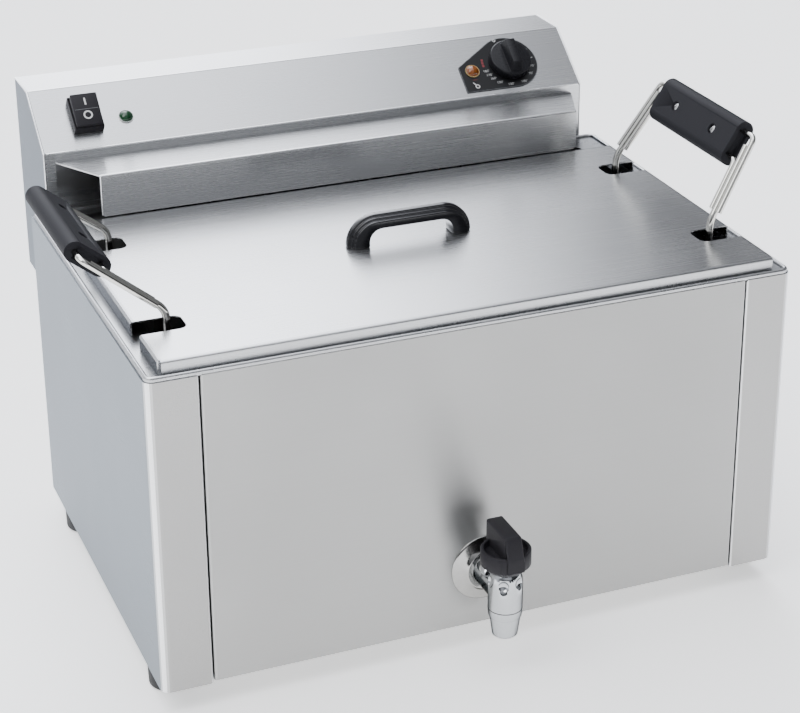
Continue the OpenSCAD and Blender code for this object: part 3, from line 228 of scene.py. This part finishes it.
# Darker copy of the side panels' brushed steel for the end plates of the control head: painted shade
end_plate_painted_shade = metal(
    "brushed_steel_end_painted_shade", (0.22, 0.23, 0.238), rough=0.3, grain=ALONG_Y, relief=BRUSH, shade=0.04, gloss=0.03,
    tangent=ACROSS_Y, Anisotropic=0.7, Specular_Tint=(0.5, 0.53, 0.57, 1))
plain_steel = metal(
    "rolled_steel", (0.5, 0.505, 0.51), rough=0.28, grain=120, relief=(0.03, 0.00003), shade=0.03, gloss=0.03,
    Specular_Tint=(0.45, 0.46, 0.48, 1))
tank_steel = metal(
    "tank_steel", (0.5, 0.505, 0.51), rough=0.28, grain=120, relief=(0.004, 0.00001), shade=0.03, gloss=0.02,
    deep=TANK_PAINTED_LIGHT_AND_ROUGHNESS, Specular_Tint=(0.45, 0.46, 0.48, 1))
dull_steel = metal(
    "dull_steel", (0.42, 0.42, 0.42), rough=0.45, grain=200, relief=(0.1, 0.00005), shade=0.1, gloss=0.1)
hot_steel = metal(
    "heated_steel", (0.3, 0.27, 0.25), rough=0.42, grain=160, relief=(0.1, 0.00005), shade=0.2, gloss=0.1, cloud=30)
# Pale steel for round beads along folds and edges: the beads are real, and their pale colour is a painted highlight
fold_painted_highlight = metal(
    "pale_fold_painted_highlight", (0.92, 0.925, 0.93), rough=0.2, grain=150, relief=(0.04, 0.00003), shade=0.05, gloss=0.05)
# Dark Specular_Tint paints dark reflections along the wires' grazing edges
wire = metal(
    "bright_wire", (0.66, 0.65, 0.61), rough=0.13, grain=300, relief=(0.08, 0.00004), shade=0.05, gloss=0.05,
    Specular_Tint=(0.2, 0.2, 0.19, 1))
# Near-black Specular_Tint paints dark reflections along the chrome's grazing edges
chrome = metal(
    "polished_chrome", (0.5, 0.515, 0.525), rough=0.06, grain=220, relief=(0.03, 0.00003), shade=0.02, gloss=0.03,
    Specular_Tint=(0.08, 0.085, 0.09, 1))
# Darker, rougher copy of the tap's chrome for its rosette; the darker colour is a painted dark reflection
rosette_chrome_painted_shade = metal(
    "rosette_chrome_painted_shade", (0.4, 0.395, 0.38), rough=0.14, grain=220, relief=(0.03, 0.00003), shade=0.03, gloss=0.03,
    Specular_Tint=(0.4, 0.4, 0.4, 1))
plated = metal(
    "plated_screws", (0.66, 0.66, 0.65), rough=0.26, grain=500, relief=(0.08, 0.00004), shade=0.06, gloss=0.06)
brass = metal(
    "machined_brass", (0.62, 0.47, 0.22), rough=0.3, grain=400, relief=(0.08, 0.00004), shade=0.08, gloss=0.06)
copper = metal(
    "drawn_copper", (0.56, 0.3, 0.19), rough=0.32, grain=260, relief=(0.08, 0.00004), shade=0.1, gloss=0.06)
plate_edge = metal(
    "bare_plate_edge", (0.2, 0.205, 0.21), rough=0.3, grain=400, relief=(0.05, 0.00003), shade=0.05, gloss=0.05)
rubber = surface(
    "black_rubber", (0.018, 0.018, 0.019), rough=0.7, grain=MOULD, relief=(0.25, 0.00008), shade=0.2, gloss=0.1)
moulded = surface(
    "moulded_black", (0.02, 0.02, 0.023), rough=0.55, grain=MOULD, relief=(0.22, 0.00007), shade=0.15, gloss=0.06,
    Specular_IOR_Level=0.04)
lever_black = surface(
    "lever_black", (0.021, 0.02, 0.023), rough=0.45, grain=MOULD, relief=(0.15, 0.00005), shade=0.12, gloss=0.06,
    Specular_IOR_Level=0.12)
satin = surface(
    "satin_black", (0.009, 0.009, 0.011), rough=0.3, grain=900, relief=(0.1, 0.00004), shade=0.12, gloss=0.06,
    Specular_IOR_Level=0.2)
glossy = surface(
    "glossy_black", (0.005, 0.005, 0.007), rough=0.13, grain=300, relief=(0.04, 0.00003), shade=0.1, gloss=0.04,
    Coat_Weight=0.25, Coat_Roughness=0.06)
dial_black = surface(
    "dial_black", (0.006, 0.006, 0.007), rough=0.36, grain=1200, relief=(0.08, 0.00003), shade=0.1, gloss=0.05,
    Specular_IOR_Level=0.25)
pale_plastic = surface(
    "pale_plastic", (0.72, 0.7, 0.64), rough=0.4, grain=MOULD, relief=(0.1, 0.00004), shade=0.05, gloss=0.06)
grey_plastic = surface(
    "grey_plastic", (0.09, 0.095, 0.1), rough=0.42, grain=MOULD, relief=(0.15, 0.00005), shade=0.1, gloss=0.06)
white_ink = surface(
    "white_ink", (0.62, 0.62, 0.61), rough=0.45, grain=700, relief=(0.05, 0.00002), shade=0.06, gloss=0.05)
red_ink = surface(
    "red_ink", (0.17, 0.008, 0.013), rough=0.45, grain=700, relief=(0.05, 0.00002), shade=0.1, gloss=0.05)
green_lens, amber_lens = (
    surface(name, colour, rough=0.09, grain=200, relief=(0.03, 0.00003), shade=0.2, gloss=0.03,
            Coat_Weight=0.35, Coat_Roughness=0.04, Transmission_Weight=0.25)
    for name, colour in (("green_lens", (0.004, 0.06, 0.018)), ("amber_lens", (0.27, 0.075, 0.01))))
floor_white = surface(
    "pale_floor", (0.9, 0.9, 0.9), rough=0.9, grain=3, relief=(0.0, 0.0001), shade=0.01, gloss=0.02,
    Emission_Color=(1, 1, 1, 1), Emission_Strength=0.85)

for material, members in (
        (brushed, ("control_panel", "element_cover", "lid", "lid_wings")),
        (lid_edge_painted_shade, ("lid_edges",)),
        (brushed_front, ("front_panel", "head_back", "rear_panel")),
        (brushed_side, ("left_side_panel", "right_side_panel")),
        (end_plate_painted_shade, ("head_left_end", "head_right_end")),
        (tank_steel, ("tank",)),
        (plain_steel, ("element_plate", "head_hook", "head_floor")),
        (dull_steel, ("base_plate", "element_support")),
        (hot_steel, ("heating_element",)),
        (wire, ("basket_tray", "left_uprights", "right_uprights", "left_bails", "right_bails")),
        (chrome, ("tap_body", "tap_nozzle")),
        (rosette_chrome_painted_shade, ("tap_rosette",)),
        (plated, ("foot_screws", "tap_lever_screw", "head_screws", "grip_screws", "lid_handle_screws")),
        (brass, ("drain_nipple", "drain_lock_nut", "tap_plug", "thermostat_shaft")),
        (copper, ("thermostat_sensor",)),
        (rubber, ("feet", "drain_seal")),
        (moulded, ("left_grip_upper", "left_grip_lower", "right_grip_upper", "right_grip_lower", "cable_gland",
                   "thermostat", "safety_thermostat")),
        (satin, ("thermostat_knob",)),
        (lever_black, ("tap_lever", "switch_housing", "switch_rocker")),
        (glossy, ("lid_handle",)),
        (dial_black, ("dial_plate",)),
        (pale_plastic, ("terminal_block",)),
        (grey_plastic, ("contactor",)),
        (green_lens, ("green_pilot",)),
        (amber_lens, ("amber_pilot",))):
    for member in members:
        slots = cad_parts[member].data.materials
        slots.clear()
        slots.append(material)

# ---- pieces

# A face larger than this, in square metres, is a flat of a moulding
FLAT_AREA = 0.0009
# Angles: creases of a moulding, of a print and of a turned piece, edges that are rolled, faces that are one flat
CREASE, PRINT_CREASE, TURNED_CREASE = 40.0, 30.0, 45.0
ROLLED_ANGLE, FLAT_ANGLE = 32.0, 0.5
WELD, ROUND_PROFILE = 0.01, 0.5
# Print: its thickness, half the thickness of the numbers, and the share of a number's height that thins its strokes
PRINT_T, NUMBER_HALF_T, NUMBER_THIN = 0.06, 0.03, 0.016
# A bead takes its sides from Z where it runs along X, and its mitre lengthens no further than this
ALONG, MITRE_LEAST = 0.9, 0.3


def piece(name, bm, body, material, smooth=CREASE):
    """New piece from a finished bmesh in the frame's own coordinates, riding on a body."""
    mesh = bpy.data.meshes.new(name)
    bm.to_mesh(mesh)
    bm.free()
    mesh.shade_smooth()
    mesh.set_sharp_from_angle(angle=math.radians(smooth))
    for face in mesh.polygons:
        face.use_smooth = face.area < FLAT_AREA
    mesh.materials.append(material)
    obj = bpy.data.objects.new(name, mesh)
    bpy.context.scene.collection.objects.link(obj)
    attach(obj, body)
    return obj


def node_copy(node):
    """Welded copy of a node's mesh with its flat faces whole."""
    bm = bmesh.new()
    bm.from_mesh(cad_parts[node].data)
    bmesh.ops.remove_doubles(bm, verts=bm.verts, dist=WELD * MM)
    bmesh.ops.dissolve_limit(bm, angle_limit=math.radians(FLAT_ANGLE), verts=bm.verts, edges=bm.edges)
    return bm


def softened(node, body, material, width=0.0, shortest=0.0, segments=3, above=None):
    """Piece in the place of a node, with the node's sharp edges rolled over as a moulding's are.

    Edges shorter than shortest stay sharp, and so do those that reach below the height above.
    """
    bm = node_copy(node)
    sharp = [e for e in bm.edges if len(e.link_faces) == 2 and e.calc_length() > shortest * MM
             and e.calc_face_angle(0) > math.radians(ROLLED_ANGLE)
             and (above is None or min(v.co.z for v in e.verts) > above * MM)]
    if width:
        bmesh.ops.bevel(bm, geom=sharp, offset=width * MM, offset_type="OFFSET", segments=segments,
                        profile=ROUND_PROFILE, affect="EDGES", clamp_overlap=above is None)
    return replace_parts(piece(node + "_soft", bm, body, material), node)


def walls(bm, low, high):
    """Faces between two closed rings of points."""
    for i in range(len(low)):
        j = (i + 1) % len(low)
        bm.faces.new((low[i], low[j], high[j], high[i]))


def printed(name, shapes, body, material, thick=PRINT_T):
    """Thin print: each shape is a frame on the surface and a closed outline, with a hole if a second one follows."""
    bm = bmesh.new()
    for place, *outlines in shapes:
        rings = [[[bm.verts.new(place @ Vector((x * MM, y * MM, n * MM))) for x, y in outline] for n in (0.0, thick)]
                 for outline in outlines]
        for low, high in rings:
            walls(bm, low, high)
        if len(rings) > 1:
            walls(bm, rings[0][1], rings[1][1])
        else:
            bm.faces.new(rings[0][1])
    bmesh.ops.recalc_face_normals(bm, faces=bm.faces)
    return piece(name, bm, body, material, PRINT_CREASE)


def ring_of(radius, count=32, start=0.0, stop=360.0, at=(0, 0)):
    """Points round an arc; a whole turn leaves out the last one."""
    steps = count if stop - start >= 360 else count - 1
    angles = [math.radians(start + (stop - start) * i / steps) for i in range(count)]
    return [(at[0] + radius * math.cos(a), at[1] + radius * math.sin(a)) for a in angles]


def bar_of(length, width, angle=0.0, at=(0, 0)):
    """Corners of a bar about a point."""
    c, s = math.cos(math.radians(angle)), math.sin(math.radians(angle))
    x, y = length / 2, width / 2
    return [(at[0] + u * c - v * s, at[1] + u * s + v * c) for u, v in ((-x, -y), (x, -y), (x, y), (-x, y))]


def band_of(inner, outer, start, stop, count=16):
    """Outline of a piece of a ring."""
    return ring_of(outer, count, start, stop) + ring_of(inner, count, start, stop)[::-1]


def turned(name, place, profile, body, material, count=48):
    """Piece turned about the Z of a frame from the (radius, height) pairs of a closed profile."""
    bm = bmesh.new()
    rings = [[bm.verts.new(place @ Vector((x * MM, y * MM, height * MM))) for x, y in ring_of(radius, count)]
             for radius, height in profile]
    for low, high in zip(rings, rings[1:] + rings[:1]):
        walls(bm, low, high)
    bmesh.ops.recalc_face_normals(bm, faces=bm.faces)
    return piece(name, bm, body, material, TURNED_CREASE)


def bead(name, points, radius, body, material, count=10):
    """Round bead along a line of points, mitred at its corners and closed at its ends."""
    path = [Vector(p) for p in points]
    bm = bmesh.new()
    rings = []
    for i, at in enumerate(path):
        before = (at - path[i - 1]).normalized() if i else None
        after = (path[i + 1] - at).normalized() if i + 1 < len(path) else None
        along = ((before or after) + (after or before)).normalized()
        side = Vector((1, 0, 0)) if abs(along.x) < ALONG else Vector((0, 0, 1))
        out = along.cross(side).normalized() / max(along.dot(after or before), MITRE_LEAST)
        rings.append([bm.verts.new((at + side * x + out * y) * MM) for x, y in ring_of(radius, count)])
    for low, high in zip(rings, rings[1:]):
        walls(bm, low, high)
    for ring in (rings[0], rings[-1]):
        bm.faces.new(ring)
    bmesh.ops.recalc_face_normals(bm, faces=bm.faces)
    return piece(name, bm, body, material)


def numbers(name, labels, place, size, body, material):
    """Printed dial numbers, each with its degree sign, upright on the surface."""
    bm = bmesh.new()
    for text, x, y in labels:
        curve = bpy.data.curves.new(name, "FONT")
        curve.body, curve.size, curve.align_x, curve.align_y = text + "\u00b0", size * MM, "CENTER", "CENTER"
        curve.extrude, curve.offset = NUMBER_HALF_T * MM, -NUMBER_THIN * size * MM
        holder = bpy.data.objects.new(name, curve)
        bpy.context.scene.collection.objects.link(holder)
        mesh = holder.to_mesh()
        mesh.transform(place @ Matrix.Translation((x * MM, y * MM, NUMBER_HALF_T * MM)))
        bm.from_mesh(mesh)
        holder.to_mesh_clear()
        bpy.data.objects.remove(holder)
        bpy.data.curves.remove(curve)
    return piece(name, bm, body, material, PRINT_CREASE)


# Mouldings with rolled edges; on the tap's lever only the fin, which stands above the rim of the skirt
LEVER_RIM_Z = 112.8
for side in ("left", "right"):
    for half in ("upper", "lower"):
        softened(f"{side}_grip_{half}", "basket", moulded, width=1.0, shortest=3.0)
softened("tap_lever", "tap_plug_and_lever", lever_black, width=1.8, shortest=5.0, segments=4,
         above=LEVER_RIM_Z)
softened("thermostat_knob", "thermostat_control", satin, width=0.8, shortest=0.8)
softened("switch_rocker", "rocker", lever_black, width=0.7, shortest=2.0)
softened("switch_housing", "control_head", lever_black, width=0.5, shortest=4.0)
softened("lid_handle", "lid_and_handle", glossy, width=1.0, shortest=0.6)
for node, finish in (("tap_body", chrome), ("tap_nozzle", chrome), ("tap_rosette", rosette_chrome_painted_shade)):
    softened(node, "casing", finish, width=0.5, shortest=0.8, segments=2)
for node, lens in (("green_pilot", green_lens), ("amber_pilot", amber_lens)):
    softened(node, "control_head", lens)
softened("feet", "casing", rubber, width=0.8, shortest=0.8, segments=2)
softened("cable_gland", "control_head", moulded, width=0.5, shortest=2.0, segments=2)

# Rims of the pilots, the amber one on the dial plate; each profile as a share of the rim's width and a height
RIM_R = 6.25
RIM_PROFILE = ((0, 0), (1, 0), (1, 0.7), (0.7, 1.2), (0.3, 1.2), (0, 0.8))
for name, x, base, wide, finish in (
        ("green_rim", GREEN_X, 0, 0.5, plated),
        ("amber_rim", AMBER_X, DIAL_T, 0.8, brass)):
    turned(name, on_slope(x, PILOT_V, base), [(RIM_R + wide * share, height) for share, height in RIM_PROFILE],
           "control_head", finish)

# Print on the dial: numbers and their places on the slope
NUMBER_SIZE = 3.7
DIAL_NUMBERS = (("180", 171.0, 26.6), ("170", 172.8, 21.9), ("160", 175.5, 17.6), ("150", 180.5, 12.4),
                ("130", 190.9, 9.1), ("100", 204.9, 10.2), ("90", 214.6, 18.1), ("70", 218.8, 26.1))
# White marks: bars right of the knob (angle, place about the hub), off ring, ring and bar under the amber pilot
TICK, TICKS = (2.0, 0.5), ((8, (24.5, 2.1)), (28, (22.2, 11.8)))
OFF_X, OFF_V, OFF_RADII = 190.0, 60.0, (1.5, 0.9)
LAMP_V, LAMP_RADII, LAMP_BAR = 11.0, (2.3, 1.4), (3.6, 0.9, 125, (-2.2, 3.3))
# Red marks: radii and angles of the bars left of the knob, the line under the amber pilot
RED_BAND, RED_SPANS = (25.6, 27.8), ((165, 170.5), (172, 177.5), (179, 184.5))
RED_LINE, RED_LINE_V = (4.0, 0.4), 18.6
# Dot on the knob
DOT_X, DOT_V, DOT_N, DOT_R, DOT_POINTS = KNOB_X - 5.2, SLOPE_MID + 14.2, DIAL_T + 8.2, 0.9, 20

hub = on_slope(KNOB_X, SLOPE_MID, DIAL_T)
lamp_mark = on_slope(AMBER_X, LAMP_V, DIAL_T)
numbers("dial_numbers", DIAL_NUMBERS, on_slope(0, 0, DIAL_T), NUMBER_SIZE, "control_head", white_ink)
printed("dial_marks", [
    *((hub, bar_of(*TICK, angle, at)) for angle, at in TICKS),
    (on_slope(OFF_X, OFF_V, DIAL_T), *map(ring_of, OFF_RADII)),
    (lamp_mark, *map(ring_of, LAMP_RADII)), (lamp_mark, bar_of(*LAMP_BAR))],
    "control_head", white_ink)
printed("dial_red_marks", [
    *((hub, band_of(*RED_BAND, *span)) for span in RED_SPANS),
    (on_slope(AMBER_X, RED_LINE_V, DIAL_T), bar_of(*RED_LINE))], "control_head", red_ink)
printed("knob_pointer", [(on_slope(DOT_X, DOT_V, DOT_N), ring_of(DOT_R, DOT_POINTS))],
        "thermostat_control", white_ink)

# Bare line along the edge of the dial plate: how far in, how wide and how high it is, and the holes it leaves out
EDGE_IN, EDGE_WIDE, EDGE_UP = 0.3, 0.3, 0.05
HOLES = ((KNOB_X, SLOPE_MID, 12.0), (AMBER_X, PILOT_V, 8.5))
FACES_OUT = 0.99


def dial_edge_line():
    """Strip cut from the upper face of the dial plate, a little inside its outline."""
    bm = node_copy("dial_plate")
    bm.normal_update()
    to_slope = SLOPE.inverted()
    out = SLOPE.to_3x3() @ Vector((0, 0, 1))

    def at(face):
        return to_slope @ face.calc_center_median()

    def inset(width):
        return bmesh.ops.inset_region(bm, faces=bm.faces[:], thickness=width * MM, use_boundary=True,
                                      use_even_offset=True)["faces"]

    def clear_of_holes(face):
        return all((at(face) - Vector((x * MM, v * MM, DIAL_T * MM))).length > r * MM for x, v, r in HOLES)

    bmesh.ops.delete(bm, context="FACES", geom=[
        f for f in bm.faces if f.normal.dot(out) < FACES_OUT or at(f).z < DIAL_T * MM / 2])
    bmesh.ops.delete(bm, geom=inset(EDGE_IN), context="FACES")
    line = {f for f in inset(EDGE_WIDE) if clear_of_holes(f)}
    bmesh.ops.delete(bm, geom=[f for f in bm.faces if f not in line], context="FACES")
    bmesh.ops.translate(bm, verts=bm.verts, vec=out * EDGE_UP * MM)
    piece("dial_edge_line", bm, "control_head", plate_edge)


dial_edge_line()

# Marks on the rocker: a bar on its upper half and a ring on its lower half; a grey line along its ridge
RIDGE_N, RIDGE_FALL, RIDGE_LINE, RIDGE_T = 11.4, (0.5, 15.8), (21.0, 0.5), 0.1
ON_BAR = (1.5, 7.0, 0, (0, 7.7))
OFF_AT, OFF_OUTER, OFF_INNER, OFF_POINTS = (0, -5.8), 4.1, 2.7, 40
ridge = (on_slope(SWITCH_X, SLOPE_MID, ROCKER_PIVOT) @ Matrix.Rotation(math.radians(ROCKER_TILT), 4, "X")
         @ Matrix.Translation((0, 0, RIDGE_N * MM)))
lean = math.atan2(*RIDGE_FALL)
upper, lower = (ridge @ Matrix.Rotation(angle, 4, "X") for angle in (-lean, lean))
printed("rocker_marks", [
    (upper, bar_of(*ON_BAR)),
    (lower, *(ring_of(radius, OFF_POINTS, at=OFF_AT) for radius in (OFF_OUTER, OFF_INNER)))],
    "rocker", white_ink)
printed("rocker_ridge", [(upper, bar_of(*RIDGE_LINE))], "rocker", grey_plastic, RIDGE_T)

# Dark ring round the barrel of the tap, above the spout: height over the barrel's foot, (radius, height) profile
RING_UP = 7.5
RING_PROFILE = ((13.2, -0.4), (14.12, -0.4), (14.2, -0.2), (14.2, 0.2), (14.14, 0.4), (13.2, 0.4))
low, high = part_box("tap_nozzle")
turned("spout_ring",
       Matrix.Translation(((low.x + high.x) / 2, (low.y + high.y) / 2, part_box("tap_body")[0].z + RING_UP * MM)),
       RING_PROFILE, "casing", rubber)

# Beads along the folds of the control head and of the element cover, in pale steel that paints a highlight on each
# fold, and the cover's rolled lower edge in brushed steel
FOLD_R, HEM_R, END_R = 0.8, 0.95, 0.7
for name, x, y, z, radius, finish in (
        ("upper_fold_line", 257.5, 208.5, 385.5, FOLD_R, fold_painted_highlight),
        ("lower_fold_line", 257.5, 155.1, 344.7, FOLD_R, fold_painted_highlight),
        ("cover_fold_line", 224.5, 93.75, 341.05, FOLD_R, fold_painted_highlight),
        ("cover_hem", 224.0, 94.2, 304.15, HEM_R, brushed)):
    bead(name, [(X_MID + along, y, z) for along in (-x, 0, x)], radius, "control_head", finish)

# Bead up the left end of the element cover, in pale steel that paints a highlight on its edge
COVER_END_X, COVER_END_Y, COVER_END_Z = X_MID - 225.0, 93.4, (305.5, 340.8)
bead("cover_end_line", [(COVER_END_X, COVER_END_Y, z) for z in COVER_END_Z], END_R, "control_head",
     fold_painted_highlight)

# Beads where the control head's panel meets its end plates, in pale steel that paints a highlight along each edge
HEAD_END_X = 259.6
HEAD_PROFILE = ((155.1, 207.0), (155.1, 344.8), (208.4, 385.7), (253.6, 385.7))
for name, x in (("left_end_bead", -HEAD_END_X), ("right_end_bead", HEAD_END_X)):
    bead(name, [(x + X_MID, y, z) for y, z in HEAD_PROFILE], FOLD_R, "control_head", fold_painted_highlight)

# ---- stage, light and camera; lengths in metres

FLOOR_HALF = 9
KEY_AT, KEY_TARGET, KEY_SIZE, KEY_POWER = (-1.7, -0.6, 2.2), (0, 0, 0.2), 1.6, 28
SKY = (0.91, 0.935, 1.0, 1)

floor = bpy.data.objects.new("floor", bpy.data.meshes.new("floor"))
floor.data.from_pydata([(x * FLOOR_HALF, y * FLOOR_HALF, 0) for x, y in ((-1, -1), (1, -1), (1, 1), (-1, 1))], [],
                       [(0, 1, 2, 3)])
floor.data.materials.append(floor_white)
bpy.context.scene.collection.objects.link(floor)


def studio():
    """White surroundings: brightest behind, grey to the right and in front, with a dark band low down in front."""
    world = bpy.data.worlds.new("studio")
    bpy.context.scene.world = world
    world.use_nodes = True
    nodes, link = world.node_tree.nodes, world.node_tree.links.new
    background = nodes["Background"]
    split = shader_node(nodes, "SeparateXYZ")
    link(shader_node(nodes, "TexCoord").outputs["Generated"], split.inputs["Vector"])

    def across(axis, low, high, start, stop):
        """Strength that goes from start to stop between two places along an axis of the direction."""
        reach = map_range(nodes, low, high, start, stop, interpolation_type="SMOOTHSTEP")
        link(split.outputs[axis], reach.inputs["Value"])
        return reach.outputs["Result"]

    def joined(operation, *parts):
        """Strengths put together one after the other."""
        result = parts[0]
        for part in parts[1:]:
            node = shader_node(nodes, "Math", operation=operation)
            link(result, node.inputs[0])
            link(part, node.inputs[1])
            result = node.outputs[0]
        return result

    around = joined("MULTIPLY", across("X", 0.24, 0.43, 2.2, 0.28), across("X", -0.75, -0.25, 0.45, 1.0),
                    across("Y", -0.6, -0.2, 0.3, 1.0), across("Z", 0.7, 0.92, 1.0, 1.6))
    behind = joined("MULTIPLY", across("Y", 0.1, 0.7, 0.0, 5.2), across("X", -0.35, 0.0, 0.0, 1.0),
                    across("X", 0.26, 0.46, 1.0, 0.0), across("Z", 0.05, 0.3, 0.0, 1.0))
    band = joined("MULTIPLY", across("Y", -0.5, -0.2, 0.8, 0.0), across("Z", 0.14, 0.26, 1.0, 0.0),
                  across("Z", -0.12, 0.0, 0.0, 1.0))
    lit = joined("ADD", around, behind)
    link(joined("SUBTRACT", lit, joined("MULTIPLY", lit, band)), background.inputs["Strength"])
    background.inputs["Color"].default_value = SKY


studio()

key = bpy.data.objects.new("key", bpy.data.lights.new("key", "AREA"))
key.data.shape, key.data.size, key.data.size_y, key.data.energy = "RECTANGLE", KEY_SIZE, KEY_SIZE, KEY_POWER
key.location = KEY_AT
key.rotation_euler = (Vector(KEY_TARGET) - Vector(KEY_AT)).to_track_quat("-Z", "Y").to_euler()
bpy.context.scene.collection.objects.link(key)

camera = bpy.data.objects.new("camera", bpy.data.cameras.new("camera"))
camera.data.lens, camera.data.sensor_width = CAMERA_LENS, CAMERA_SENSOR
camera.data.shift_x, camera.data.shift_y = CAMERA_SHIFT
camera.matrix_world = (
    Matrix.Translation(CAMERA_AT) @ Matrix.Rotation(math.radians(-CAMERA_TURN), 4, "Z")
    @ Matrix.Rotation(math.radians(90 - CAMERA_DOWN), 4, "X") @ Matrix.Rotation(math.radians(CAMERA_ROLL), 4, "Z"))
bpy.context.scene.collection.objects.link(camera)
bpy.context.scene.camera = camera
